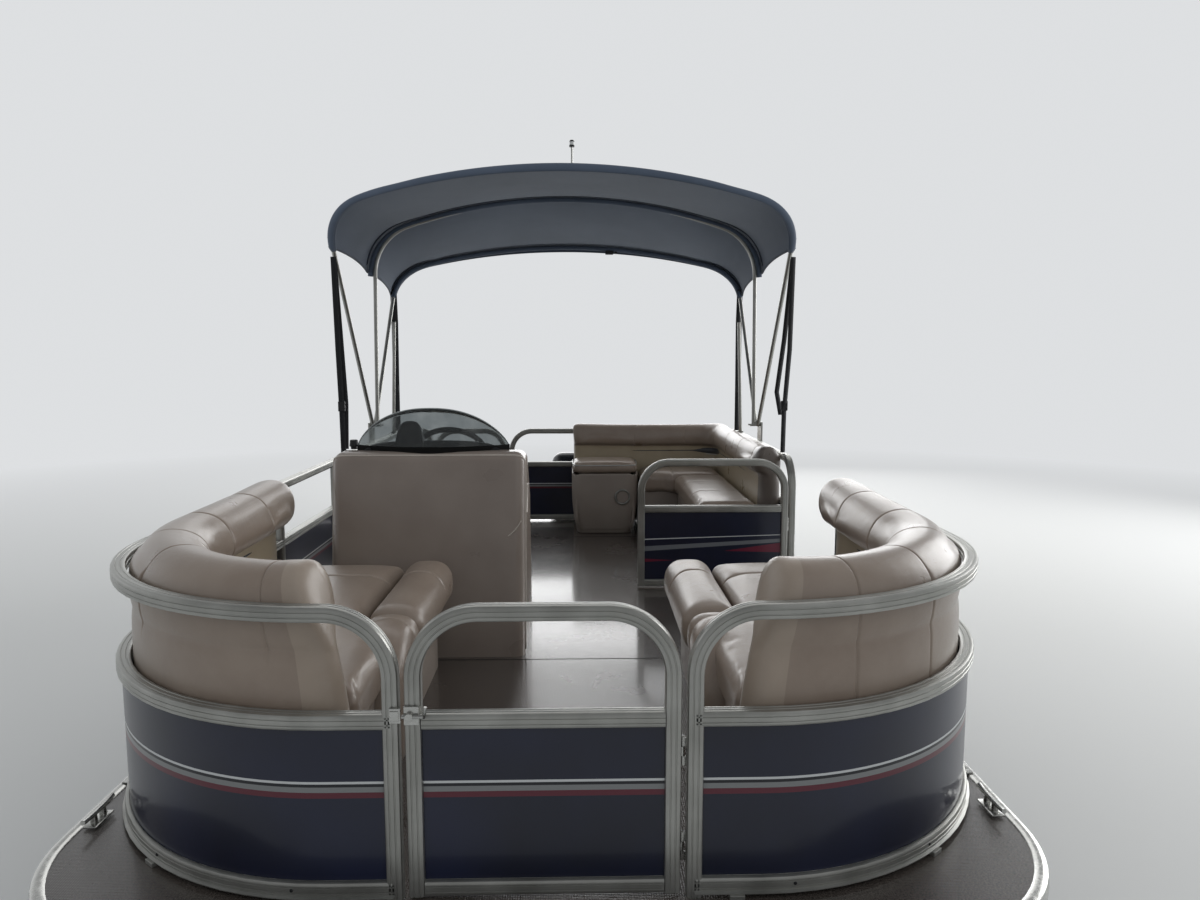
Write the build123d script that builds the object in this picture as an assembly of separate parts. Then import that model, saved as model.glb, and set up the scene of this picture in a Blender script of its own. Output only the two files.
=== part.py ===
from build123d import *
import os
from math import atan2, cos, radians, sin

# A family pontoon boat, full size, in millimetres. +X is port, +Y is aft, +Z is up.
# Plan places are measured from the bow gate's front face, heights above the floor
# where a name ends in _Z, but from under the keels in the hull and the motor.

# Overall sizes
BEAM = 2590              # over the deck's edge trim
FENCE_LENGTH = 4640      # bow gate's front face to stern gate's aft face
DECK_FRONT = 160         # deck ahead of the bow gate
DECK_REAR = 700          # deck behind the stern gate
DECK_CORNER_R = 450      # bow corners of the deck
STERN_CORNER_R = 60

# Pontoons and what carries the deck
PONTOON_D = 610
PONTOON_X = 890          # centreline of each pontoon
PONTOON_SHORT = 90       # aft end plate ahead of the deck's edge
NOSE_START = 380         # where the nose cone begins
NOSE_LENGTH = 900
NOSE_RISE = 175          # how far the nose's tip lies above the pontoon's axis
KEEL_W, KEEL_H = 50, 30
SADDLE_W, SADDLE_L = 260, 70
SADDLE_GAP = 40          # pontoon's top to the cross members
CROSS_W, CROSS_H, CROSS_WALL = 45, 76, 5
CROSS_FIRST, CROSS_LAST, CROSS_COUNT = 60, 336, 13     # first behind the gate, last ahead of the deck's end
DECK_T = 22              # plywood with its covering
TRIM_T, TRIM_H, TRIM_LIP = 5, 84, 24
CLEAT_L, CLEAT_H = 150, 42

# Fence: tubes, rails and posts
FENCE_SETBACK = 22       # deck's edge to the fence's outer face
FENCE_FRONT_R = 760
FENCE_REAR_R = 150
TUBE = 38
ARCH_R = 170             # where a top rail turns down into a post
BASE_Z, MID_Z, TOP_Z = 12, 420, 674   # undersides of the three rails
SKIN_T, SKIN_INSET = 3, 13
POST_PITCH = 880
FOOT_L = 50

# Gates
GATE_W = 638             # bow gate, over its tubes
STERN_GATE_W = 560
STERN_GATE_X = -450      # port edge of the stern gate's opening
SIDE_GATE_W = 820
SIDE_GATE_Y = 2739       # forward face of the side gate's hinge post
GATE_GAP = 14            # gate tube to fence post
PIN_INSET = 8            # hinge pin inboard of the fence's inner face
HINGE_R, HINGE_H = 6, 70
PIN_PLAY = 0.1           # a pin's radius below its bore's

# Couches, mirrored port and starboard
COUCH_GAP = 15           # fence tube to the back's outer shell
COUCH_INNER = 450        # inboard end of the backrest beside the bow gate
COUCH_END = 1530
BACK_T, ROLL_T = 110, 195
BACK_TOP_Z, ROLL_Z = 790, 560
SEAT_BASE_Z, SEAT_TOP_Z = 305, 430
SEAT_GAP = 8
BASE_INNER = 500         # inboard wall of the seat base
BASE_WALL = 14
BOLSTER_X, BOLSTER_W, BOLSTER_TOP_Z, BOLSTER_Z = 420, 190, 462, 285
SEAT_SPLIT = 800         # fixed corner seat ahead, hinged seat behind

# Stern lounge, port side and along the stern
LOUNGE_GAP = 121         # side gate's post to the lounge's front
LOUNGE_INNER = 740       # inboard edge of the side seat
LOUNGE_DEPTH = 560       # stern seat's front edge, from the fence's aft face
LOUNGE_END_X = 30
END_BLOCK_W = 470
END_BLOCK_TOP_Z, END_CUSHION_T = 440, 62

# Helm
CONSOLE_X = (-970, -150)
CONSOLE_GAP, CONSOLE_LEAN = 105, 115      # couch's end to the front face's foot, and the top behind that
CONSOLE_H, CONSOLE_DEPTH, CONSOLE_WALL = 860, 560, 14
DASH_DROP = 170
SCREEN_H, SCREEN_T, SCREEN_W = 185, 6, 670
WHEEL_D, WHEEL_RIM, WHEEL_RAKE = 340, 24, 32
WHEEL_X = -510
CHAIR_X, CHAIR_Y, CHAIR_SEAT_Z = -560, 2900, 410

# Outboard motor
TRANSOM_GAP = 10         # transom's face ahead of the deck's edge
TRANSOM_T, TRANSOM_W = 45, 420
TILT_DROP, TILT_BACK = 80, 45             # tilt tube under the cross members, behind the transom
TILT_STORED = 60         # degrees up from running
STEER_OFFSET = 125       # steering axis aft of the tilt tube
TILT_TUBE_R, STEER_PIN_R = 17, 19         # the swivel's two bores
PROP_DROP = 650          # propeller axis below the tilt tube
PROP_D, PROP_BLADES = 320, 3
WELL_W, WELL_L = 700, 420

# Bimini top
BIMINI_AHEAD, BIMINI_PIVOT_Z = 990, 815   # pivot ahead of the stern gate's face, above the floor
BOW_SETBACK = 27         # fence's outer face to a bow's centreline
BOW_TUBE = 25
BOW_LEAN = 37            # degrees from upright, front bow forward and rear bow aft
BOW_LENGTHS = {"front": 1762, "mid": 1440, "rear": 1565}
BOW_CORNER_R = 320
CROWN_SHARE = 0.2047      # crown's rise over the legs' tops, of half the width
CANOPY_T = 6
CANOPY_GAP = 8.5         # canopy's underside above a bow
CANOPY_HEM = 230         # legs' tops to the hem along each bow
REAR_BOW_STEP = 60       # rear bow's foot behind the shared pivot
BOW_PIN_R = 5.5
MAST_X, MAST_L, MAST_R = 40, 350, 8

# Boarding ladder
LADDER_X, LADDER_W, LADDER_L, LADDER_TUBE = 860, 340, 600, 28
LADDER_PIN_R = 6.5

AXIS_Z = KEEL_H + PONTOON_D / 2
CROSS_Z = KEEL_H + PONTOON_D + SADDLE_GAP
DECK_Z = CROSS_Z + CROSS_H
FLOOR_Z = DECK_Z + DECK_T
FENCE_HALF = BEAM / 2 - FENCE_SETBACK
BIMINI_HALF = FENCE_HALF - BOW_SETBACK
GATE_HALF = GATE_W / 2
POST_X = GATE_HALF + GATE_GAP        # inboard face of the bow gate's posts
RAIL_TOP = TOP_Z + TUBE
FRONT_DECK_Y, REAR_DECK_Y = -DECK_FRONT, FENCE_LENGTH + DECK_REAR
PONTOON_AFT = REAR_DECK_Y - PONTOON_SHORT
TRANSOM_Y = REAR_DECK_Y - TRANSOM_GAP
TILT_Y, TILT_Z = TRANSOM_Y + TILT_BACK, CROSS_Z - TILT_DROP

UP = (Align.CENTER, Align.CENTER, Align.MIN)      # a round piece's place is its lower end
DOWN = (Align.CENTER, Align.CENTER, Align.MAX)

os.makedirs("parts", exist_ok=True)
NODES = {}


def box(x0, x1, y0, y1, z0, z1):
    return Pos((x0 + x1) / 2, (y0 + y1) / 2, (z0 + z1) / 2) * Box(x1 - x0, y1 - y0, z1 - z0)


def zone(x0, x1, y0, y1):
    """A plan region that reaches from under the keels to over the canopy."""
    return box(x0, x1, y0, y1, -500, 4000)


def cyl(r, a, b):
    """A round bar from point a to point b."""
    axis = Vector(*b) - Vector(*a)
    return Plane(origin=a, z_dir=axis) * Cylinder(r, axis.length, align=UP)


def plan(inset):
    """The fence's outline in plan, set in by a distance."""
    half = FENCE_HALF - inset
    face = Pos(0, FENCE_LENGTH / 2) * Rectangle(2 * half, FENCE_LENGTH - 2 * inset)
    face = fillet(face.vertices().group_by(Axis.Y)[0], FENCE_FRONT_R - inset)
    return fillet(face.vertices().group_by(Axis.Y)[-1], max(FENCE_REAR_R - inset, 20))


def ring(inset, thick, z, height):
    """A wall that follows the fence's outline, z above the floor."""
    return Pos(0, 0, FLOOR_Z + z) * extrude(plan(inset) - plan(inset + thick), height)


def deck_plan(inset):
    length = REAR_DECK_Y - FRONT_DECK_Y - 2 * inset
    face = Pos(0, (FRONT_DECK_Y + REAR_DECK_Y) / 2) * Rectangle(BEAM - 2 * inset, length)
    face = fillet(face.vertices().group_by(Axis.Y)[0], DECK_CORNER_R - inset)
    face = fillet(face.vertices().group_by(Axis.Y)[-1], STERN_CORNER_R - inset)
    well_front = REAR_DECK_Y - WELL_L - inset
    return face - Pos(0, well_front + WELL_L) * Rectangle(WELL_W + 2 * inset, 2 * WELL_L)


def save(node, *solids):
    NODES[node] = Compound([s for solid in solids for s in solid.solids()])


def pieces(shape):
    return list(shape.solids())


def hull():
    """Two tubes with upswept noses, keels, saddles, cross members and the motor's pod."""
    stations = [0, 0.3, 0.55, 0.75, 0.9, 1]
    tubes = []
    for node, x in (("pontoon_port", PONTOON_X), ("pontoon_starboard", -PONTOON_X)):
        rings = []
        for s in stations:
            r = PONTOON_D / 2 * max((1 - s**2) ** 0.5, 0.1)
            at = (x, NOSE_START - NOSE_LENGTH * s, AXIS_Z + NOSE_RISE * s**2)
            rings.append(Plane(origin=at, x_dir=(1, 0, 0), z_dir=(0, -1, 0)) * Circle(r))
        log = cyl(PONTOON_D / 2, (x, NOSE_START, AXIS_Z), (x, PONTOON_AFT, AXIS_Z)) + loft(rings, ruled=True)
        eye = box(x - 5, x + 5, NOSE_START - NOSE_LENGTH - 34, NOSE_START - NOSE_LENGTH + 40,
                  AXIS_Z + NOSE_RISE - 28, AXIS_Z + NOSE_RISE + 28)
        eye -= cyl(EYE_R, (x - 20, EYE_Y, AXIS_Z + NOSE_RISE), (x + 20, EYE_Y, AXIS_Z + NOSE_RISE))
        log += eye
        tubes.append(log)
        keel = box(x - KEEL_W / 2, x + KEEL_W / 2, NOSE_START - 40, PONTOON_AFT, 0, KEEL_H + 6) - log
        save(node, log, keel)

    saddles, members = [], []
    under_deck = Pos(0, 0, CROSS_Z) * extrude(deck_plan(TRIM_T + 1), CROSS_H)
    for i in range(CROSS_COUNT):
        y = CROSS_FIRST + i * CROSS_PITCH
        channel = box(-BEAM / 2, BEAM / 2, y, y + CROSS_W, CROSS_Z, DECK_Z)
        channel -= box(-BEAM / 2, BEAM / 2, y - 1, y + CROSS_W - CROSS_WALL,
                       CROSS_Z + CROSS_WALL, DECK_Z - CROSS_WALL)
        members += pieces(channel & under_deck)
        for x, log in zip((PONTOON_X, -PONTOON_X), tubes):
            leg = box(x - SADDLE_W / 2, x + SADDLE_W / 2, y - 12, y - 12 + SADDLE_L, AXIS_Z + 150, CROSS_Z)
            leg -= box(x - SADDLE_W / 2 + 9, x + SADDLE_W / 2 - 9, y - 60, y + 120, 0, CROSS_Z - 9)
            saddles += pieces(leg - log)
    save("deck_framing", *members, *saddles)

    side = [(POD_Y, CROSS_Z), (WELL_Y - 30, CROSS_Z), (WELL_Y + 10, TILT_Z), (TRANSOM_Y - TRANSOM_T, TILT_Z),
            (TRANSOM_Y - TRANSOM_T, POD_BOTTOM), (POD_Y + 260, POD_BOTTOM), (POD_Y, CROSS_Z - 60)]
    pod = extrude(Plane.YZ * make_face(Polyline(*side, close=True)), TRANSOM_W / 2, both=True)
    reach = TRANSOM_W / 2 + 15
    plate = box(-reach, reach, TRANSOM_Y - TRANSOM_T, TRANSOM_Y, POD_BOTTOM, TILT_Z + 15)
    save("motor_pod", pod, plate)


def deck():
    save("deck_floor", Pos(0, 0, DECK_Z) * extrude(deck_plan(TRIM_T), DECK_T))
    wall = Pos(0, 0, FLOOR_Z + 3 - TRIM_H) * extrude(deck_plan(0) - deck_plan(TRIM_T), TRIM_H)
    lip = Pos(0, 0, FLOOR_Z) * extrude(deck_plan(0) - deck_plan(TRIM_LIP), 3)
    save("deck_trim", wall + lip)
    cleats = []
    for x in (-CLEAT_X, CLEAT_X):
        for y in CLEAT_YS:
            foot = box(x - 20, x + 20, y - 45, y + 45, FLOOR_Z, FLOOR_Z + 7)
            stem = box(x - 9, x + 9, y - 26, y + 26, FLOOR_Z + 7, FLOOR_Z + CLEAT_H - 8)
            top = FLOOR_Z + CLEAT_H - 8
            horn = cyl(8, (x, y - CLEAT_L / 2, top), (x, y + CLEAT_L / 2, top))
            cleats.append(foot + stem + horn)
    save("deck_cleats", *cleats)


def fence_end(x, y, into, radius):
    """A post whose top bends over into the top rail; into points along the fence."""
    post = Plane(origin=(x, y, FLOOR_Z), x_dir=(*into, 0), z_dir=Vector(*into, 0).cross(Vector(0, 0, 1)))
    outer = Pos(radius / 2, (BASE_Z + RAIL_TOP) / 2) * Rectangle(radius, RAIL_TOP - BASE_Z)
    outer = fillet(outer.vertices().sort_by(Axis.X)[:2].sort_by(Axis.Y)[-1], radius - 0.5)
    inner = Pos(TUBE + radius / 2, (BASE_Z + RAIL_TOP) / 2 - TUBE) * Rectangle(radius, RAIL_TOP - BASE_Z)
    inner = fillet(inner.vertices().sort_by(Axis.X)[:2].sort_by(Axis.Y)[-1], max(radius - TUBE, 5))
    face = outer - inner - Pos(TUBE + radius / 2, BASE_Z) * Rectangle(radius, 3 * TUBE)
    return extrude(post * face, TUBE / 2, both=True)


def end_cut(x, y, into, length):
    """The plan stretch that a fence end takes up."""
    across = (TUBE, 0) if into[0] == 0 else (0, TUBE)
    a = (x - across[0], y - across[1])
    b = (x + into[0] * length + across[0], y + into[1] * length + across[1])
    return zone(min(a[0], b[0]), max(a[0], b[0]), min(a[1], b[1]), max(a[1], b[1]))


def fences():
    """Three runs of fence between three gates, each a node of tubes and a node of skins."""
    half, length, mid = FENCE_HALF, FENCE_LENGTH, TUBE / 2
    foot = mid - 2
    front_x, rear_x, rear_y = half - FENCE_FRONT_R, half - FENCE_REAR_R, length - FENCE_REAR_R
    # run: plan zones it covers; its two ends as x, y, direction into the run, bend; its side posts
    runs = {
        "starboard": ([(-half, -POST_X, 0, FENCE_FRONT_R), (-half, -half + 100, 0, length),
                       (-half, STERN_POST_X, rear_y, length)],
                      [(-POST_X, mid, (-1, 0), ARCH_R), (STERN_POST_X, length - mid, (-1, 0), STERN_ARCH_R)],
                      [(-half + mid, FENCE_FRONT_R + 260 + i * POST_PITCH) for i in range(4)]),
        "port_bow": ([(POST_X, half, 0, FENCE_FRONT_R), (half - 100, half, 0, SIDE_GATE_FRONT)],
                     [(POST_X, mid, (1, 0), ARCH_R), (half - mid, SIDE_GATE_FRONT, (0, -1), ARCH_R)],
                     [(half - mid, FENCE_FRONT_R + 260)]),
        "port_stern": ([(half - 100, half, SIDE_GATE_Y, length), (STERN_GATE_X, half, length - 100, length)],
                       [(half - mid, SIDE_GATE_Y, (0, 1), ARCH_R),
                        (STERN_GATE_X, length - mid, (1, 0), ARCH_R)],
                       [(half - mid, SIDE_GATE_Y + 950), (rear_x - 600, length - mid)]),
    }
    cells = [zone(-front_x, front_x, -9, 100), zone(-half, half, FENCE_FRONT_R, rear_y),
             zone(-rear_x, rear_x, length - 100, length + 9)]
    for s in (-1, 1):
        cells.append(zone(*sorted((s * front_x, s * (half + 9))), -9, FENCE_FRONT_R))
        cells.append(zone(*sorted((s * rear_x, s * (half + 9))), rear_y, length + 9))
    skins = []
    for run, (zones, ends, post_places) in runs.items():
        region = sum((zone(*z) for z in zones[1:]), zone(*zones[0]))
        solids = []
        for z, taken in ((BASE_Z, TUBE), (MID_Z, TUBE), (TOP_Z, None)):
            rail = ring(0, TUBE, z, TUBE) & region
            for x, y, into, bend in ends:
                rail -= end_cut(x, y, into, taken or bend)
            for cell in cells:
                solids += pieces(rail & cell)
        solids += [fence_end(*end) for end in ends]
        posts = []
        for x, y in post_places:
            for z0, z1 in ((BASE_Z + TUBE, MID_Z), (MID_Z + TUBE, TOP_Z)):
                posts.append(box(x - mid, x + mid, y - mid, y + mid, FLOOR_Z + z0, FLOOR_Z + z1))
            solids.append(box(x - foot, x + foot, y - FOOT_L / 2, y + FOOT_L / 2, FLOOR_Z, FLOOR_Z + BASE_Z))
        for x, y, into, bend in ends:
            cx, cy = x + into[0] * mid, y + into[1] * mid
            solids.append(box(cx - foot, cx + foot, cy - foot, cy + foot, FLOOR_Z, FLOOR_Z + BASE_Z))
        solids += posts
        skin = ring(SKIN_INSET, SKIN_T, BASE_Z + TUBE, MID_Z - BASE_Z - TUBE) & region
        for x, y, into, bend in ends:
            skin -= end_cut(x, y, into, TUBE)
        for post in posts:
            skin -= post
        panels = []
        for cell in cells:
            panels += pieces(skin & cell)
        for hinge in HINGES:
            if hinge["run"] == run:
                solids += hinge_half(hinge, fixed=True)
        save(f"fence_{run}", *solids)
        skins += panels
    save("fence_skins", *skins)


def hinge_half(gate, fixed):
    """Leaves and knuckles at a gate's pin; the fixed half also holds the pin."""
    place = Pos(*gate["pin"], FLOOR_Z) * Rot(0, 0, gate["stored"] if not fixed else gate["closed"])
    solids = []
    for z in HINGE_ZS:
        if fixed:
            pin = cyl(HINGE_R - PIN_PLAY, (0, 0, z - 14), (0, 0, z + HINGE_H + 14))
            whole = pin
            for z0 in (z - 14, z + HINGE_H + 1):
                whole += cyl(8, (0, 0, z0), (0, 0, z0 + 13))
                whole += box(-GATE_GAP / 2 - 26, 0, PIN_INSET - 4, PIN_INSET, z0, z0 + 13)
        else:
            leaf = box(0, GATE_GAP / 2 + 26, PIN_INSET - 4, PIN_INSET, z, z + HINGE_H)
            whole = cyl(8, (0, 0, z), (0, 0, z + HINGE_H)) + leaf
            whole -= cyl(HINGE_R, (0, 0, z - 5), (0, 0, z + HINGE_H + 5))
        solids += pieces(place * whole)
    return solids


def gates():
    """Arched gate frames with a skin below the middle rail, hinged on pins inboard of the fence."""
    for gate in HINGES:
        width, height = gate["width"], RAIL_TOP - BASE_Z
        outer = Pos(width / 2, height / 2) * Rectangle(width, height)
        outer = fillet(outer.vertices().group_by(Axis.Y)[-1], ARCH_R)
        inner = Pos(width / 2, height / 2) * Rectangle(width - 2 * TUBE, height - 2 * TUBE)
        inner = fillet(inner.vertices().group_by(Axis.Y)[-1], ARCH_R - TUBE)
        mid_bar = Pos(width / 2, MID_Z - BASE_Z + TUBE / 2) * Rectangle(width - 2 * TUBE, TUBE)
        skin_h = MID_Z - BASE_Z - TUBE
        face = Pos(width / 2, TUBE + skin_h / 2) * Rectangle(width - 2 * TUBE, skin_h)
        upright = Pos(*gate["pin"], FLOOR_Z + BASE_Z) * Rot(0, 0, gate["stored"])
        upright *= Pos(GATE_GAP / 2, PIN_INSET, 0)
        frame = extrude(Plane.XZ * (outer - inner), -TUBE)
        bar = extrude(Plane.XZ * mid_bar, -TUBE)
        panel = Pos(0, TUBE - SKIN_INSET - SKIN_T, 0) * extrude(Plane.XZ * face, -SKIN_T)
        save(f"{gate['name']}_frame", upright * (frame + bar), *hinge_half(gate, fixed=False))
        save(f"{gate['name']}_skin", upright * panel)


def seats():
    """Bow couches on both sides, then the lounge that fills the port stern corner."""
    back_in = TUBE + COUCH_GAP
    seat_in = back_in + BACK_T + SEAT_GAP
    for side in (1, -1):
        name = "port" if side > 0 else "starboard"
        turn = (lambda s: s) if side > 0 else (lambda s: mirror(s, Plane.YZ))
        area = zone(COUCH_INNER, FENCE_HALF, 0, COUCH_END)
        wall = ring(back_in, BACK_T, 0, ROLL_Z) & area
        roll = ring(back_in, ROLL_T, ROLL_Z, BACK_TOP_Z - ROLL_Z) & area
        backrest = turn(wall + roll)
        inside = Pos(0, 0, FLOOR_Z) * extrude(plan(back_in + BACK_T + 1), SEAT_BASE_Z)
        outer = inside & zone(BASE_INNER, FENCE_HALF, 0, COUCH_END)
        hollow = Pos(0, 0, FLOOR_Z + BASE_WALL) * extrude(plan(back_in + BACK_T + 1 + BASE_WALL), SEAT_BASE_Z)
        hollow &= zone(BASE_INNER + BASE_WALL, FENCE_HALF, 0, COUCH_END - BASE_WALL)
        save(f"couch_base_{name}", turn(outer - hollow))
        pad = Pos(0, 0, FLOOR_Z + SEAT_BASE_Z + 2) * extrude(plan(seat_in), SEAT_TOP_Z - SEAT_BASE_Z - 2)
        inner_x = BOLSTER_X + BOLSTER_W + 2
        corner_seat = turn(pad & zone(BASE_INNER - 30, FENCE_HALF, 0, SEAT_SPLIT - 10))
        save(f"couch_back_{name}", backrest, corner_seat)
        cushion = turn(pad & zone(inner_x, FENCE_HALF, SEAT_SPLIT, COUCH_END - 12))
        roll_z = FLOOR_Z + BOLSTER_Z
        bolster = box(BOLSTER_X, BOLSTER_X + BOLSTER_W, SEAT_SPLIT, COUCH_END - 12,
                      roll_z, FLOOR_Z + BOLSTER_TOP_Z)
        bolster -= box(BASE_INNER - 6, 2000, 0, COUCH_END, 0, FLOOR_Z + SEAT_BASE_Z + 2)
        bolster = fillet(bolster.edges().filter_by(Axis.Y).group_by(Axis.Z)[-1], 70)
        save(f"couch_seat_{name}", cushion, turn(bolster))

    area = zone(FENCE_HALF - 400, FENCE_HALF, LOUNGE_FRONT, FENCE_LENGTH)
    area += zone(LOUNGE_END_X, FENCE_HALF, FENCE_LENGTH - 400, FENCE_LENGTH)
    back = ring(back_in, BACK_T, 0, ROLL_Z) & area
    back += ring(back_in, ROLL_T - 40, ROLL_Z, BACK_TOP_Z - 25 - ROLL_Z) & area
    seat_front = FENCE_LENGTH - LOUNGE_DEPTH
    block_x = LOUNGE_END_X + END_BLOCK_W
    inside = Pos(0, 0, FLOOR_Z) * extrude(plan(back_in + BACK_T + 1), SEAT_BASE_Z)
    hollow = Pos(0, 0, FLOOR_Z + BASE_WALL) * extrude(plan(back_in + BACK_T + 1 + BASE_WALL), SEAT_BASE_Z)
    base = inside & (zone(LOUNGE_INNER + 40, FENCE_HALF, LOUNGE_FRONT, FENCE_LENGTH)
                     + zone(block_x + 4, FENCE_HALF, seat_front + 40, FENCE_LENGTH))
    wall = BASE_WALL
    base -= hollow & zone(LOUNGE_INNER + 40 + wall, FENCE_HALF, LOUNGE_FRONT + wall, LOUNGE_SPLIT - 20)
    pad = Pos(0, 0, FLOOR_Z + SEAT_BASE_Z + 2) * extrude(plan(seat_in), SEAT_TOP_Z - SEAT_BASE_Z - 2)
    save("lounge_seat_side", pad & zone(LOUNGE_INNER, FENCE_HALF, LOUNGE_FRONT, LOUNGE_SPLIT))
    corner = zone(LOUNGE_INNER, FENCE_HALF, LOUNGE_SPLIT + 8, FENCE_LENGTH)
    corner += zone(block_x + 6, FENCE_HALF, seat_front, FENCE_LENGTH)
    save("lounge_back", back, pad & corner)
    block_back = FENCE_LENGTH - back_in - BACK_T - 2
    block = box(LOUNGE_END_X, block_x, seat_front, block_back, FLOOR_Z, FLOOR_Z + END_BLOCK_TOP_Z)
    block = fillet(block.edges().filter_by(Axis.Z).group_by(Axis.Y)[0], 70)
    block -= box(LOUNGE_END_X + BASE_WALL, block_x - BASE_WALL, seat_front + 30, block_back - 100,
                 FLOOR_Z + BASE_WALL, 2000)
    save("lounge_base", base, block)
    lid = box(LOUNGE_END_X - 6, block_x + 2, seat_front - 12, END_LID_Y, FLOOR_Z + END_BLOCK_TOP_Z + 3,
              FLOOR_Z + END_BLOCK_TOP_Z + 3 + END_CUSHION_T)
    save("lounge_end_lid", fillet(lid.edges().filter_by(Axis.Z).group_by(Axis.Y)[0], 70))


def helm():
    x0, x1 = CONSOLE_X
    z = FLOOR_Z
    side = [(CONSOLE_Y, z), (CONSOLE_TOP_Y, z + CONSOLE_H), (DASH_Y, z + CONSOLE_H),
            (DASH_END_Y, z + DASH_END_Z), (DASH_END_Y, z + DASH_END_Z - 70), (CONSOLE_Y + CONSOLE_DEPTH, z)]
    body = extrude(Plane.YZ.offset(x0) * make_face(Polyline(*side, close=True)), x1 - x0)
    front = [e for e in body.edges() if e.center().Y < CONSOLE_TOP_Y and abs((e % 0.5).Z) > 0.9]
    body = fillet(front, 60)
    w = CONSOLE_WALL
    void = [(CONSOLE_Y + w, z - 5), (CONSOLE_TOP_Y + w, z + CONSOLE_H - w), (DASH_Y - w, z + CONSOLE_H - w),
            (DASH_END_Y - w, z + DASH_END_Z - w), (DASH_END_Y - w, z + DASH_END_Z - 50),
            (DASH_END_Y + 400, z + DASH_END_Z - 120), (CONSOLE_Y + CONSOLE_DEPTH + 400, z - 5)]
    inner = extrude(Plane.YZ.offset(x0 + w) * make_face(Polyline(*void, close=True)), x1 - x0 - 2 * w)
    rounded = [e for e in inner.edges() if e.center().Y < CONSOLE_TOP_Y + w + 5 and abs((e % 0.5).Z) > 0.9]
    inner = fillet(rounded, 60 - w)
    save("helm_console", body - inner)

    screen_x = (x0 + x1) / 2
    reach = SCREEN_W / 2
    bow = (reach**2 + SCREEN_SAG**2) / (2 * SCREEN_SAG)
    band = Circle(bow) - Circle(bow - SCREEN_T)
    band = Pos(screen_x, SCREEN_Y + bow) * band & Pos(screen_x, SCREEN_Y + SCREEN_SAG / 2) * Rectangle(
        SCREEN_W, SCREEN_SAG)
    crest = [(-reach, -5), (-reach, 8), (-reach * 0.62, SCREEN_H), (reach * 0.62, SCREEN_H), (reach, 8),
             (reach, -5)]
    shape = fillet(make_face(Polyline(*crest, close=True)).vertices().group_by(Axis.Y)[-1], 90)
    cutter = extrude(Plane.XZ * Pos(screen_x, z + CONSOLE_H + 1) * shape, -4000)
    save("windscreen", Pos(0, 0, z + CONSOLE_H + 1) * extrude(band, SCREEN_H) & cutter)

    wheel = Plane(origin=WHEEL_AT, x_dir=(1, 0, 0), z_dir=WHEEL_NORMAL)
    rim = Torus(WHEEL_D / 2 - WHEEL_RIM / 2, WHEEL_RIM / 2)
    hub = Pos(0, 0, -30) * Cylinder(42, 40)
    parts = rim + hub
    for i in range(3):
        spoke = Rot(0, 0, 90 + i * 120) * Pos(WHEEL_D / 4, 0, -14) * Box(WHEEL_D / 2 - 14, 26, 9)
        parts += spoke
    parts += Pos(0, 0, -50) * Cylinder(14, WHEEL_STEM - 50, align=DOWN)
    save("steering_wheel", wheel * parts)
    bezel = wheel * Pos(0, 0, -WHEEL_STEM + 18) * (Cylinder(46, 36, align=DOWN) - Cylinder(15, 80)) - body

    cx, cy, cz = CHAIR_X, CHAIR_Y, z + CHAIR_SEAT_Z
    post = cyl(110, (cx, cy, z), (cx, cy, z + 10)) + cyl(34, (cx, cy, z + 10), (cx, cy, cz - 60))
    save("helm_pedestal", post)
    plate = cyl(80, (cx, cy, cz - 55), (cx, cy, cz - 40))
    plate += box(cx - 110, cx + 110, cy - 110, cy + 110, cz - 40, cz - 30)
    seat = box(cx - 235, cx + 235, cy - 220, cy + 220, cz - 30, cz + 70)
    seat = fillet(seat.edges().filter_by(Axis.Z), 60)
    rest = box(cx - 235, cx + 235, cy + 130, cy + 235, cz + 75, cz + 350)
    rest = fillet(rest.edges().filter_by(Axis.Y).group_by(Axis.Z)[-1], 80)
    bracket = box(cx - 90, cx + 90, cy + 221, cy + 229, cz - 40, cz + 75)
    bracket += box(cx - 90, cx + 90, cy + 100, cy + 229, cz - 47, cz - 40)
    save("helm_chair", plate, seat, rest, bracket)
    top = z + DASH_END_Z
    throttle = box(x0 + 60, x0 + 120, THROTTLE_Y - 45, THROTTLE_Y + 60, top - 20, top + 130) - body
    throttle += cyl(7, (x0 + 95, THROTTLE_Y, top + 100), (x0 + 95, THROTTLE_Y + 30, top + 230))
    save("helm_controls", bezel, throttle)


def tilted(shape):
    """From the running position to the stored one, about the tilt tube."""
    return Pos(0, TILT_Y, TILT_Z) * Rot(TILT_STORED, 0, 0) * shape


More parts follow.
